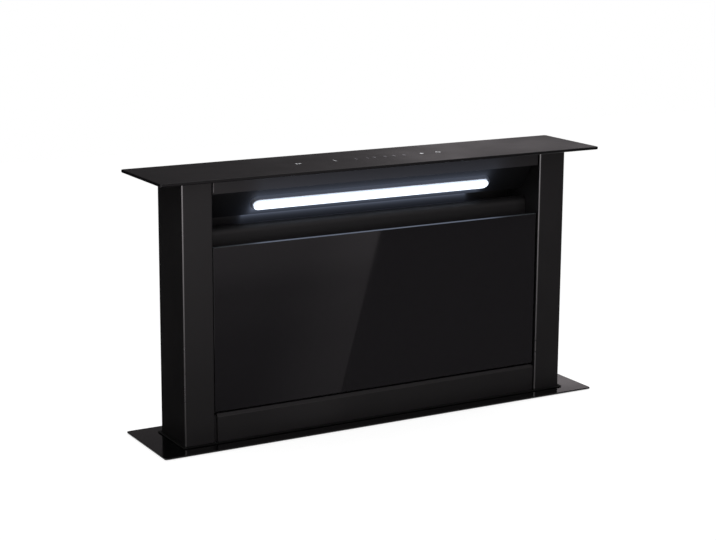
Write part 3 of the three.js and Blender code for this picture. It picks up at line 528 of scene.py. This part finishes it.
hollow = node(
    heads,
    "GeometryNodeExtrudeMesh",
    {"Mesh": mouth.outputs[0], "Selection": rim.outputs[1], "Offset Scale": sunk.outputs[0]},
)
under = node(heads, "GeometryNodeFlipFaces", {"Mesh": foot.outputs[0]})
closed = node(heads, "GeometryNodeJoinGeometry", {"Geometry": [hollow.outputs[0], under.outputs[0]]})
welded = node(heads, "GeometryNodeMergeByDistance", {"Geometry": closed.outputs[0], "Distance": 1e-6})
facing = node(heads, "GeometryNodeInputNamedAttribute", {"Name": "facing"}, data_type="FLOAT_VECTOR")
turn = node(heads, "FunctionNodeAlignRotationToVector", {"Vector": facing.outputs[0]}, axis="Z")
copies = node(
    heads,
    "GeometryNodeInstanceOnPoints",
    {"Points": given["Geometry"], "Instance": welded.outputs[0], "Rotation": turn.outputs[0]},
)
ended(heads, given, copies.outputs[0])

rivet_head = {"Radius": 0.0026, "Height": 0.001, "Recess": 0.6, "Depth": 0.0}
screw_head = {"Radius": 0.0034, "Height": 0.0018, "Recess": 0.6, "Depth": 0.001}
chassis_face, seam_x = 50, 270.5
chassis_rivets = []
for x in (-seam_x, seam_x):
    for z in range(-630, -20, 60):
        chassis_rivets.append(((x, -chassis_face, z), (0, -1, 0)))
        chassis_rivets.append(((x, chassis_face, z), (0, 1, 0)))
grown("chassis_rivets", heads, chassis_rivets, rivet_head, "chassis", galvanised)
cover_x = (-240, -80, 80, 240)
cover_screws = [((x, side * chassis_face, -652), (0, side, 0)) for x in cover_x for side in (-1, 1)]
grown("base_cover_screws", heads, cover_screws, screw_head, "chassis", galvanised)

# ---- Lift drive ---------------------------------------------------------------------------------
# A geared motor turns the left spindle, and a toothed belt takes the turn to the right one. Brass
# nuts under the column's foot climb the rolled threads. Gear and pulleys are moulded acetal.
# Cold-drawn steel: bright, with a tone and a gloss that wander a little.
drawn_steel, tree, shader, place = surface("cold_drawn_steel", "#b9bbbd", 0.28, metallic=1.0)
mottled(tree, shader, "#b2b4b6", "#c0c2c4", place, 25)
wandering_roughness(tree, shader, place, 15, 0.24, 0.34)

# Machined brass: warm yellow, uneven in tone and gloss over a few millimetres.
machined_brass, tree, shader, place = surface("machined_brass", "#b8954f", 0.3, metallic=1.0)
mottled(tree, shader, "#b08c47", "#c09d58", place, 6)
wandering_roughness(tree, shader, place, 4, 0.26, 0.38)

# Natural acetal: milky off-white, waxy, moulded with a fine skin.
moulded_pale, tree, shader, place = surface("moulded_acetal_natural", "#e4e3dd", 0.45, ior=1.48)
mottled(tree, shader, "#e1e0d9", "#e9e8e3", place, 30)
grained(tree, shader, place, 1.2, 0.02, 0.4)

# ABS moulded dark grey with a spark-eroded grain of 0.7 mm.
moulded_dark, tree, shader, place = surface("moulded_abs_dark", "#1d1e20", 0.5, ior=1.53)
mottled(tree, shader, "#1b1c1e", "#212224", place, 40)
grained(tree, shader, place, 0.7, 0.03, 0.5)

# EPDM rubber and cellular foam: matt, with a skin grain of 0.6 mm.
rubber_black, tree, shader, place = surface("epdm_rubber_black", "#050505", 0.8, ior=1.3)
mottled(tree, shader, "#040404", "#070707", place, 12)
grained(tree, shader, place, 0.6, 0.05, 0.6)

finished("lift_motor_can", "lift_motor", "chassis", "galvanised_steel", galvanised, 0.4)
painted(machined_brass, "lift_nut_left", "lift_nut_right")
painted(moulded_pale, "spindle_gear", "spindle_pulley", "motor_pinion")
painted(moulded_dark, "spindle_bearing_left", "spindle_bearing_right")
painted(rubber_black, "sync_belt")

# The rolled thread has four starts of 8 mm lead, and its crests reach the spindle's full size.
threads, given = growth("rolled_thread", "Radius", "Ridge", "Lead", "Length")
turns = node(threads, "ShaderNodeMath", {0: given["Length"], 1: given["Lead"]}, operation="DIVIDE")
helix = node(
    threads,
    "GeometryNodeCurveSpiral",
    {"Resolution": 14, "Rotations": turns.outputs[0], "Start Radius": given["Radius"],
     "End Radius": given["Radius"], "Height": given["Length"]},
)
ridge = node(threads, "GeometryNodeCurvePrimitiveCircle", {"Resolution": 6, "Radius": given["Ridge"]})
start = node(
    threads,
    "GeometryNodeCurveToMesh",
    {"Curve": helix.outputs[0], "Profile Curve": ridge.outputs[0], "Fill Caps": True},
)
starts = node(threads, "GeometryNodeMeshLine", {"Count": 4, "Offset": (0, 0, 0)})
count = node(threads, "GeometryNodeInputIndex")
quarter = node(threads, "ShaderNodeMath", {0: count.outputs[0], 1: math.pi / 2}, operation="MULTIPLY")
about = node(threads, "ShaderNodeCombineXYZ", {"Z": quarter.outputs[0]})
four = node(
    threads,
    "GeometryNodeInstanceOnPoints",
    {"Points": starts.outputs[0], "Instance": start.outputs[0], "Rotation": about.outputs[0]},
)
placed = node(
    threads, "GeometryNodeInstanceOnPoints", {"Points": given["Geometry"], "Instance": four.outputs[0]}
)
ended(threads, given, placed.outputs[0])
thread_size = {"Radius": 0.0044, "Ridge": 0.00058, "Lead": 0.008, "Length": 0.48}

spindle_x = 245.5


def turned(bm, profile, x, segments=24):
    """Adds a body turned about an upright line through x; profile holds (radius, z), in millimetres."""
    rings = []
    for radius, z in profile:
        if radius == 0:
            rings.append([bm.verts.new((x / 1000, 0, z / 1000))])
            continue
        rings.append([
            bm.verts.new((
                (x + radius * math.cos(2 * math.pi * i / segments)) / 1000,
                radius * math.sin(2 * math.pi * i / segments) / 1000,
                z / 1000,
            ))
            for i in range(segments)
        ])
    for low, high in zip(rings, rings[1:]):
        for i in range(segments):
            j = (i + 1) % segments
            corners = [low[i % len(low)], low[j % len(low)], high[j % len(high)], high[i % len(high)]]
            bm.faces.new(list(dict.fromkeys(corners)))


for side, x in (("left", -spindle_x), ("right", spindle_x)):
    mesh = bpy.data.meshes.new("spindle_core_" + side)
    bm = bmesh.new()
    journal = [(0, -657), (4.4, -657), (5, -656.4), (5, -598), (4.4, -596)]
    shaft = [(4.4, -114), (4.4, -103), (3, -100), (0, -100)]
    turned(bm, journal + shaft, x)
    bm.to_mesh(mesh)
    bm.free()
    mesh.materials.append(drawn_steel)
    core = linked("spindle_core_" + side, mesh)
    body = side + "_spindle"
    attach(core, body)
    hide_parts("spindle_" + side)
    spot = [((x, 0, -594), (0, 0, 1))]
    grown("spindle_thread_" + side, threads, spot, thread_size, body, drawn_steel)

# ---- Guides -------------------------------------------------------------------------------------
# Folded steel rails riveted to the chassis sides, with acetal shoes of the column running in them.
painted(drawn_steel, "guide_rail_left", "guide_rail_right")
painted(moulded_pale, "glide_shoe_left", "glide_shoe_right")

# ---- Worktop flange and seal --------------------------------------------------------------------
# A lacquered steel flange lies on the worktop over a foam gasket. Its collar holds a rubber wiper
# that the column slides through.
# Gloss lacquer over steel: almost a mirror, with a long soft ripple of 25 mm.
lacquer_black, tree, shader, place = surface("gloss_lacquer_black", "#030303", 0.12, ior=1.5)
mottled(tree, shader, "#020202", "#040404", place, 80)
wandering_roughness(tree, shader, place, 60, 0.1, 0.16)
grained(tree, shader, place, 25, 0.02, 0.4)

finished("lacquered_flange", "worktop_flange", "chassis", "gloss_black_steel", lacquer_black, 0.2)
finished("wiper_seal", "column_seal", "chassis", "black_rubber", rubber_black, 0.35)
painted(rubber_black, "flange_gasket")


# ---- Column -------------------------------------------------------------------------------------
# Two box pilasters of folded steel, joined by the back of the air duct, its front liner, the band
# under the glass and a foot plate. All of it is powder coated black.
def painted_lamp_spill(tree, shader, place, share=1.0, middle=(-0.0095, 0.2695), nearest=0.012):
    """Paints the light that spills from the light bar into the emission, falling off from a line at
    middle (y, z).
    """
    half_length, sideways, falloff, strength = 0.157, 2.5, -2.4, 6.5e-6
    split = node(tree, "ShaderNodeSeparateXYZ", {0: place})
    across = node(tree, "ShaderNodeMath", {0: split.outputs[0]}, operation="ABSOLUTE")
    past = node(tree, "ShaderNodeMath", {0: across.outputs[0], 1: half_length}, operation="SUBTRACT")
    beyond = node(tree, "ShaderNodeMath", {0: past.outputs[0], 1: 0.0}, operation="MAXIMUM")
    aside = node(tree, "ShaderNodeMath", {0: beyond.outputs[0], 1: sideways}, operation="MULTIPLY")
    forth = node(tree, "ShaderNodeMath", {0: split.outputs[1], 1: middle[0]}, operation="SUBTRACT")
    over = node(tree, "ShaderNodeMath", {0: split.outputs[2], 1: middle[1]}, operation="SUBTRACT")
    reach = node(
        tree, "ShaderNodeCombineXYZ", {0: aside.outputs[0], 1: forth.outputs[0], 2: over.outputs[0]}
    )
    distance = node(tree, "ShaderNodeVectorMath", {0: reach.outputs[0]}, operation="LENGTH")
    close = node(tree, "ShaderNodeMath", {0: distance.outputs["Value"], 1: nearest}, operation="MAXIMUM")
    fall = node(tree, "ShaderNodeMath", {0: close.outputs[0], 1: falloff}, operation="POWER")
    spill = node(tree, "ShaderNodeMath", {0: fall.outputs[0], 1: strength * share}, operation="MULTIPLY")
    shader.inputs["Emission Color"].default_value = colour("#ccdcff")
    tree.links.new(spill.outputs[0], shader.inputs["Emission Strength"])


def powder_coat(
    name, base="#0a090a", dark="#090809", light="#0c0b0c", roughness=0.42, low=0.38, high=0.46
):
    """Epoxy powder coat, semi-matt, with a fine orange peel of about 1.5 mm."""
    made, tree, shader, place = surface(name, base, roughness, ior=1.58)
    mottled(tree, shader, dark, light, place, 60)
    wandering_roughness(tree, shader, place, 45, low, high)
    grained(tree, shader, place, 1.5, 0.02, 0.5)
    return made, tree, shader, place


def refaced(made, material, chosen):
    """Gives the faces whose normal passes a test a second finish."""
    made.data.materials.append(material)
    for face in made.data.polygons:
        if chosen(face.normal):
            face.material_index = 1


def upright_strip(name, outline, heights, material):
    """A closed strip of the column with an outline (x, y) between two heights, in millimetres."""
    mesh = bpy.data.meshes.new(name)
    bm = bmesh.new()
    low, high = ([bm.verts.new((x / 1000, y / 1000, z / 1000)) for x, y in outline] for z in heights)
    for i in range(len(outline)):
        j = (i + 1) % len(outline)
        bm.faces.new((low[i], low[j], high[j], high[i]))
    bm.faces.new(low)
    bm.faces.new(high)
    bmesh.ops.recalc_face_normals(bm, faces=bm.faces)
    bm.to_mesh(mesh)
    bm.free()
    mesh.materials.append(material)
    made = linked(name, mesh)
    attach(made, "column")


# Epoxy powder coat, black, over folded steel.
powder_black = powder_coat("epoxy_powder_coat_black")[0]

# The left front folds of the pilasters carry a painted highlight, a fine line of light. Their colour is
# set a shade lighter than the coat and their reflectance above it, so that the line shows.
painted_highlight_fold, tree, shader, place = surface(
    "epoxy_powder_coat_with_painted_highlight", "#101010", 0.3, ior=2.2, specular=0.9
)
mottled(tree, shader, "#0e0e0e", "#131313", place, 30)
wandering_roughness(tree, shader, place, 20, 0.26, 0.34)

for side in ("left", "right"):
    box = ("pilaster_box_" + side, "pilaster_" + side, "column", "black_painted_steel", powder_black)
    refaced(finished(*box, 0.4), painted_highlight_fold, lambda facing: facing.x < -0.15 and facing.y < -0.15)

# The same coat on the front of the duct's back, with the light that the bar throws on it painted on as
# emission.
back_coat_with_painted_lamp_light, tree, shader, place = powder_coat("epoxy_powder_coat_with_painted_lamp_light")
painted_lamp_spill(tree, shader, place, 0.1, (0.0333, 0.2623), 0.004)
back = finished("duct_back", "rear_panel", "column", "black_painted_steel", powder_black, 0.3)
refaced(back, back_coat_with_painted_lamp_light, lambda facing: facing.y < -0.5)
finished("duct_front", "front_liner", "column", "black_painted_steel", powder_black, 0.3)
finished("bevelled_band", "lower_band", "column", "black_painted_steel", powder_black, 0.35)
finished("column_foot", "foot_frame", "column", "black_painted_steel", powder_black, 0.4)

# A bead of black sealant closes the joint between the duct's back and each pilaster.
bead = [(226.45, 33.25), (226.45, 30.8), (226.0, 31.0), (225.2, 31.6), (224.5, 32.3), (224.1, 33.25)]
for side, sign in (("left", -1), ("right", 1)):
    outline = [(sign * x, y) for x, y in bead]
    upright_strip("duct_sealant_" + side, outline, (60, 312), rubber_black)

# Flush screws hold the duct's back to the pilasters.
flush_head = {"Radius": 0.0032, "Height": 0.00025, "Recess": 0.62, "Depth": 0.0002}
back_face, screw_heights = 34.5, (20, 90, 160, 230, 300)
back_screws = [((x, back_face, z), (0, 1, 0)) for x in (-217, 217) for z in screw_heights]
grown("duct_back_screws", heads, back_screws, flush_head, "column", powder_black)

# A bright dot beside the band, low on the left, is taken as a small screw.
band_head = {"Radius": 0.001, "Height": 0.0014, "Recess": 0.6, "Depth": 0.0004}
band_spot = [((-225.2, -31.9, 3), (0, -1, 0))]
grown("band_screw", heads, band_spot, band_head, "column", drawn_steel)

# ---- Air intake ---------------------------------------------------------------------------------
# A folded header under the lid, a baffle that slopes back behind the light bar, and a rounded rail
# that the air turns over on its way down to the filter.
# The same coat beside the light bar, painted a shade lighter and with the bar's cool light painted on it
# as emission.
powder_with_painted_lamp_light, tree, shader, place = powder_coat(
    "epoxy_powder_coat_painted_lighter_beside_lamp", "#121012", "#100e10", "#141214"
)
painted_lamp_spill(tree, shader, place, 1.3)

# The same coat, set duller inside the recess, its colour painted darker as painted shade and the bar's
# light painted on it as emission.
powder_with_painted_recess_shade, tree, shader, place = surface("epoxy_powder_coat_painted_shade_in_recess", "#060506", 0.6, ior=1.4)
mottled(tree, shader, "#050405", "#070607", place, 60)
grained(tree, shader, place, 1.5, 0.02, 0.5)
painted_lamp_spill(tree, shader, place, 0.7)

# The same coat, set rougher on the rail.
rough_powder = powder_coat("epoxy_powder_coat_matt", roughness=0.56, low=0.52, high=0.6)[0]

finished("intake_header", "header_strip", "column", "black_painted_steel", powder_with_painted_lamp_light, 0.3)
finished("sloping_baffle", "lamp_baffle", "column", "black_painted_steel", powder_with_painted_recess_shade, 0.25)
finished("rounded_rail", "filter_rail", "column", "black_painted_steel", rough_powder, 0.25)

# A bright sliver along the header's left end only, taken as a cut edge of bare steel; it is a painted
# highlight.
cut_edge_painted_highlight, tree, shader, place = surface("sheared_steel_edge_painted_highlight", "#8b898a", 0.55, metallic=1.0)
mottled(tree, shader, "#848283", "#929091", place, 3)
grained(tree, shader, place, 0.6, 0.02, 0.5)
sliver = [(-224.5, -31.9), (-224.5, -32.3), (-224.3, -32.5), (-223.5, -32.5), (-223.3, -31.9)]
upright_strip("header_cut_edge_painted_highlight", sliver, (299.5, 311), cut_edge_painted_highlight)

# ---- Light bar ----------------------------------------------------------------------------------
# An aluminium housing with a long opal polycarbonate lens, lit cool white by a row of LEDs.
# Anodised aluminium: satin, with a very fine blasted grain.
anodised, tree, shader, place = surface("anodised_aluminium", "#c9cbcc", 0.34, metallic=1.0)
mottled(tree, shader, "#c4c6c8", "#cfd1d2", place, 30)
wandering_roughness(tree, shader, place, 20, 0.3, 0.38)
grained(tree, shader, place, 0.5, 0.01, 0.5)

# The same aluminium beside the lens, with the bar's light painted on it as emission.
anodised_with_painted_lamp_light, tree, shader, place = surface(
    "anodised_aluminium_with_painted_lamp_light", "#c9cbcc", 0.34, metallic=1.0
)
mottled(tree, shader, "#c4c6c8", "#cfd1d2", place, 30)
wandering_roughness(tree, shader, place, 20, 0.3, 0.38)
painted_lamp_spill(tree, shader, place, 0.5)

# Opal polycarbonate: milky, lit from behind, a shade brighter over each LED, 12.5 mm apart.
opal_lens, tree, shader, place = surface("opal_polycarbonate", "#eef4ff", 0.4, ior=1.58)
along = node(tree, "ShaderNodeSeparateXYZ", {0: place})
led_spacing = 0.0125
chips = node(
    tree, "ShaderNodeMath", {0: along.outputs[0], 1: 2 * math.pi / led_spacing}, operation="MULTIPLY"
)
wave = node(tree, "ShaderNodeMath", {0: chips.outputs[0]}, operation="COSINE")
glow = node(
    tree,
    "ShaderNodeMapRange",
    {"Value": wave.outputs[0], "From Min": -1.0, "From Max": 1.0, "To Min": 1.3, "To Max": 1.4},
)
shader.inputs["Emission Color"].default_value = colour("#e4efff")
tree.links.new(glow.outputs[0], shader.inputs["Emission Strength"])

finished("lens_housing", "lamp_housing", "column", "anodised_aluminium", anodised_with_painted_lamp_light, 0.3)
finished("light_lens", "lamp_diffuser", "column", "opal_diffuser", opal_lens, 0.4, 3)

# ---- Grease filter ------------------------------------------------------------------------------
# A pleated aluminium mesh in a folded aluminium frame, under a cover of expanded aluminium. It
# slides in two channels of powder-coated steel.
finished("cassette_frame", "filter_frame", "column", "anodised_aluminium", anodised, 0.4)

# Knitted aluminium: bright wire round holes, 2.2 mm apart, with the shade seen through the holes painted
# dark.
mesh_core, tree, shader, place = surface("knitted_aluminium_mesh", "#b9bcbe", 0.38, metallic=1.0)
cells = node(
    tree, "ShaderNodeTexVoronoi", {"Vector": place, "Scale": 1000 / 2.2}, feature="DISTANCE_TO_EDGE"
)
hole = node(
    tree,
    "ShaderNodeMapRange",
    {"Value": cells.outputs["Distance"], "From Min": 0.1, "From Max": 0.25,
     "To Min": 0.0, "To Max": 1.0},
)
shade = node(
    tree,
    "ShaderNodeMix",
    {0: hole.outputs[0], 6: colour("#c4c7c9"), 7: colour("#2a2c2e")},
    data_type="RGBA",
)
tree.links.new(shade.outputs[2], shader.inputs["Base Color"])
painted(mesh_core, "filter_core")

expanded, given = growth("expanded_sheet", "Width", "Depth", "Cell", "Strand")
half_cell = node(expanded, "ShaderNodeMath", {0: given["Cell"], 1: 0.5}, operation="MULTIPLY")
columns = node(expanded, "ShaderNodeMath", {0: given["Width"], 1: given["Cell"]}, operation="DIVIDE")
rows = node(expanded, "ShaderNodeMath", {0: given["Depth"], 1: half_cell.outputs[0]}, operation="DIVIDE")
grid = node(
    expanded,
    "GeometryNodeMeshGrid",
    {"Size X": given["Width"], "Size Y": given["Depth"],
     "Vertices X": columns.outputs[0], "Vertices Y": rows.outputs[0]},
)
ring = node(expanded, "GeometryNodeMeshCircle", {"Vertices": 4, "Radius": half_cell.outputs[0]})
strands = node(expanded, "GeometryNodeMeshToCurve", {"Mesh": ring.outputs[0]})
flat = node(
    expanded, "GeometryNodeTransform", {"Geometry": strands.outputs[0], "Scale": (1.0, 0.5, 1.0)}
)
wire = node(expanded, "GeometryNodeCurvePrimitiveCircle", {"Resolution": 4, "Radius": given["Strand"]})
diamond = node(
    expanded, "GeometryNodeCurveToMesh", {"Curve": flat.outputs[0], "Profile Curve": wire.outputs[0]}
)
lattice = node(
    expanded, "GeometryNodeInstanceOnPoints", {"Points": grid.outputs[0], "Instance": diamond.outputs[0]}
)
sheet = node(
    expanded,
    "GeometryNodeInstanceOnPoints",
    {"Points": given["Geometry"], "Instance": lattice.outputs[0]},
)
ended(expanded, given, sheet.outputs[0])
mesh_size = {"Width": 0.4055, "Depth": 0.0355, "Cell": 0.0064, "Strand": 0.00035}
cover_spot = [((0, 5.5, 208.1), (0, 0, 1))]
grown("filter_cover_mesh", expanded, cover_spot, mesh_size, "column", anodised)
for side in ("left", "right"):
    channel = ("filter_channel_" + side, "filter_rack_" + side)
    finished(*channel, "column", "black_painted_steel", powder_black, 0.25)

# ---- Glass front --------------------------------------------------------------------------------
# Tempered glass with a black print behind it, bonded to a powder-coated carrier that swings on two
# trunnions. A magnet holds its top.
# Float glass with a black print: a mirror over deep black.
gloss_glass, tree, shader, place = surface("float_glass_black", "#0e0d0f", 0.03, ior=1.52)
mottled(tree, shader, "#0d0c0e", "#100f11", place, 120)
wandering_roughness(tree, shader, place, 90, 0.02, 0.05)

# The ground edge of the glass is unprinted and matt, and the light of the bar is painted on it as a
# strong emission.
ground_edge_with_painted_lamp_light, tree, shader, place = surface("ground_glass_edge", "#2b2f30", 0.5, ior=1.52)
mottled(tree, shader, "#282c2d", "#2f3334", place, 8)
painted_lamp_spill(tree, shader, place, 10.0)

pane = finished("glass_front_pane", "glass_panel", "glass_front", "black_glass", gloss_glass, 0.25)
refaced(pane, ground_edge_with_painted_lamp_light, lambda facing: facing.z > 0.5)
finished("pane_carrier", "glass_carrier", "glass_front", "black_painted_steel", powder_black, 0.25)
painted(moulded_dark, "magnetic_catch")

# ---- Lid and touch control ----------------------------------------------------------------------
# The lid is tempered glass with an etched satin face, bonded to a steel tray. The touch board looks
# through a window of the tray, and its symbols are printed on the glass in white.
# Acid-etched glass: a satin of very fine grain.
etched_glass, tree, shader, place = surface(
    "acid_etched_glass_black", "#080709", 0.32, ior=1.45, specular=0.34
)
mottled(tree, shader, "#070608", "#0a090b", place, 90)
wandering_roughness(tree, shader, place, 70, 0.28, 0.36)
grained(tree, shader, place, 0.8, 0.004, 0.5)
finished("etched_lid", "top_plate", "column", "satin_black_glass", etched_glass, 0.2)
finished("lid_tray", "cap_tray", "column", "black_painted_steel", powder_black, 0.25)
painted(moulded_dark, "board_housing")

# Solder mask: a thin green lacquer over the copper of the board.
solder_mask, tree, shader, place = surface("solder_mask_green", "#1d4f33", 0.35, ior=1.5)
mottled(tree, shader, "#1a492f", "#215a3a", place, 5)
wandering_roughness(tree, shader, place, 6, 0.3, 0.42)
painted(solder_mask, "touch_board")

# Screen-printed ink: a thin matt film, white on the keys and grey on the level marks.
white_ink, tree, shader, place = surface("screen_printed_ink_white", "#e9eaee", 0.6, ior=1.5)
mottled(tree, shader, "#e4e5e9", "#eeeff3", place, 2)
grey_ink, tree, shader, place = surface("screen_printed_ink_grey", "#7e7c83", 0.6, ior=1.5)
mottled(tree, shader, "#79777e", "#848289", place, 2)

lid_face = 319.0
ink_height = 0.03


def print_patch(bm, points):
    """Adds a flat patch of ink with the given outline, in millimetres on the lid's face."""
    low, high = (
        [bm.verts.new((x / 1000, y / 1000, (lid_face + lift) / 1000)) for x, y in points]
        for lift in (-ink_height, ink_height)
    )
    bm.faces.new(high)
    bm.faces.new(low[::-1])
    for i in range(len(points)):
        j = (i + 1) % len(points)
        bm.faces.new((low[i], low[j], high[j], high[i]))


def print_arc(bm, x, y, inner, outer, start, end, steps=20):
    """Adds a printed arc between two angles in degrees."""
    for i in range(steps):
        a, b = (math.radians(start + (end - start) * k / steps) for k in (i, i + 1))
        ring = [(inner, a), (outer, a), (outer, b), (inner, b)]
        print_patch(bm, [(x + r * math.cos(t), y + r * math.sin(t)) for r, t in ring])


def print_bar(bm, x, y, width, depth):
    """Adds a printed bar round a point."""
    w, d = width / 2, depth / 2
    print_patch(bm, [(x - w, y - d), (x + w, y - d), (x + w, y + d), (x - w, y + d)])


def printed(name, bm, ink):
    """Makes the printed symbols a piece of the lid."""
    mesh = bpy.data.meshes.new(name)
    bmesh.ops.recalc_face_normals(bm, faces=bm.faces)
    bm.to_mesh(mesh)
    bm.free()
    mesh.materials.append(ink)
    made = linked(name, mesh)
    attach(made, "column")


# On and off, the lamp, the timer and the lift, each a plain sign.
sign_row, switch_x, lamp_x, tall_sign_x = -1, 95.6, 72, -49.5
bm = bmesh.new()
print_arc(bm, switch_x, sign_row, 2.4, 3.3, 115, 425)
print_bar(bm, switch_x, 2, 0.9, 3.6)
print_arc(bm, lamp_x, sign_row, 0, 2.5, 0, 360)
print_bar(bm, -101.4, sign_row, 2.4, 3.2)
print_bar(bm, -97.2, sign_row, 2.8, 2.4)
print_bar(bm, tall_sign_x, sign_row, 1.0, 9.0)
print_bar(bm, tall_sign_x, 2.4, 2.2, 1.6)
printed("touch_signs", bm, white_ink)

# Six level marks, each a little bolder than the last.
bm = bmesh.new()
for step, x in enumerate((-20.6, -4.6, 4.7, 20.1, 32.5, 46.6)):
    print_bar(bm, x, sign_row, 0.9 + 0.2 * step, 7.0)
printed("level_marks", bm, grey_ink)

# ---- Blower -------------------------------------------------------------------------------------
# A galvanised scroll with its bell-mouth and front cover. The motor sits on a ring with three arms
# and turns a moulded impeller with forward-curved blades.
for name in ("scroll_casing", "scroll_cover", "inlet_cone"):
    finished("zinc_" + name, name, "chassis", "galvanised_steel", galvanised, 0.25)
finished("fan_motor_can", "fan_motor", "chassis", "galvanised_steel", galvanised, 0.6)
finished("fan_wheel_moulding", "impeller", "fan_wheel", "dark_plastic", moulded_dark, 0)

fan_x, fan_z = -70, -510
cover_face, ring_face = -162.1, -164.1
scroll_sweep, scroll_start, scroll_growth, screw_inset = 335, 103, 87, 5
frontward = (0, -1, 0)
cover_spots = []
for k in range(1, 10):
    radius = scroll_start + scroll_growth * k / 10 - screw_inset
    angle = math.radians(65 - scroll_sweep * k / 10)
    spot = (fan_x + radius * math.cos(angle), cover_face, fan_z + radius * math.sin(angle))
    cover_spots.append((spot, frontward))
for x, z in ((-20, -325.5), (45, -325.5), (45, -411.5)):
    cover_spots.append(((x, cover_face, z), frontward))
for angle in (90, 210, 330):
    for radius in (51, 80):
        turn = math.radians(angle)
        spot = (fan_x + radius * math.cos(turn), ring_face, fan_z + radius * math.sin(turn))
        cover_spots.append((spot, frontward))
grown("scroll_cover_screws", heads, cover_spots, screw_head, "chassis", drawn_steel)

# ---- Outlet -------------------------------------------------------------------------------------
# A square-to-round adapter of galvanised sheet, with a moulded collar riveted to it and two flaps
# that fall shut when the fan stops.
finished("zinc_outlet_adapter", "outlet_adapter", "chassis", "galvanised_steel", galvanised, 0.25)
finished("duct_spigot", "duct_collar", "chassis", "pale_plastic", moulded_pale, 0.4)
finished("rear_flap_disc", "flap_rear", "rear_flap", "pale_plastic", moulded_pale, 0.3)
finished("front_flap_disc", "flap_front", "front_flap", "pale_plastic", moulded_pale, 0.3)

duct_y, duct_z = -133.5, -368.3
collar_x, rivet_circle = 142, 78.3
collar_spots = []
for k in range(6):
    turn = math.radians(30 + 60 * k)
    spot = (collar_x, duct_y + rivet_circle * math.cos(turn), duct_z + rivet_circle * math.sin(turn))
    collar_spots.append((spot, (1, 0, 0)))
collar_head = {"Radius": 0.0022, "Height": 0.0011, "Recess": 0.6, "Depth": 0.0}
grown("collar_rivets", heads, collar_spots, collar_head, "chassis", drawn_steel)

# ---- Electrical box and cabinet brackets --------------------------------------------------------
# A moulded box with a screwed lid and a cable gland, and two galvanised feet with slots for the
# cabinet's floor.
finished("terminal_box", "control_box", "chassis", "dark_plastic", moulded_dark, 0.5)
finished("terminal_lid", "control_lid", "chassis", "dark_plastic", moulded_dark, 0.4)
finished("gland_body", "cable_gland", "chassis", "dark_plastic", moulded_dark, 0.3)
box_face, bracket_face, bracket_screw_z = -95.6, 52.3, -595
lid_spots = [((x, box_face, z), (0, -1, 0)) for x in (78, 232) for z in (-222, -118)]
grown("terminal_lid_screws", heads, lid_spots, screw_head, "chassis", drawn_steel)

for side in ("left", "right"):
    bracket = ("zinc_bracket_" + side, "cabinet_bracket_" + side)
    finished(*bracket, "chassis", "galvanised_steel", galvanised, 0.25)
foot_spots = [((x, bracket_face, bracket_screw_z), (0, 1, 0)) for x in (-146, -94, 94, 146)]
grown("bracket_screws", heads, foot_spots, screw_head, "chassis", drawn_steel)
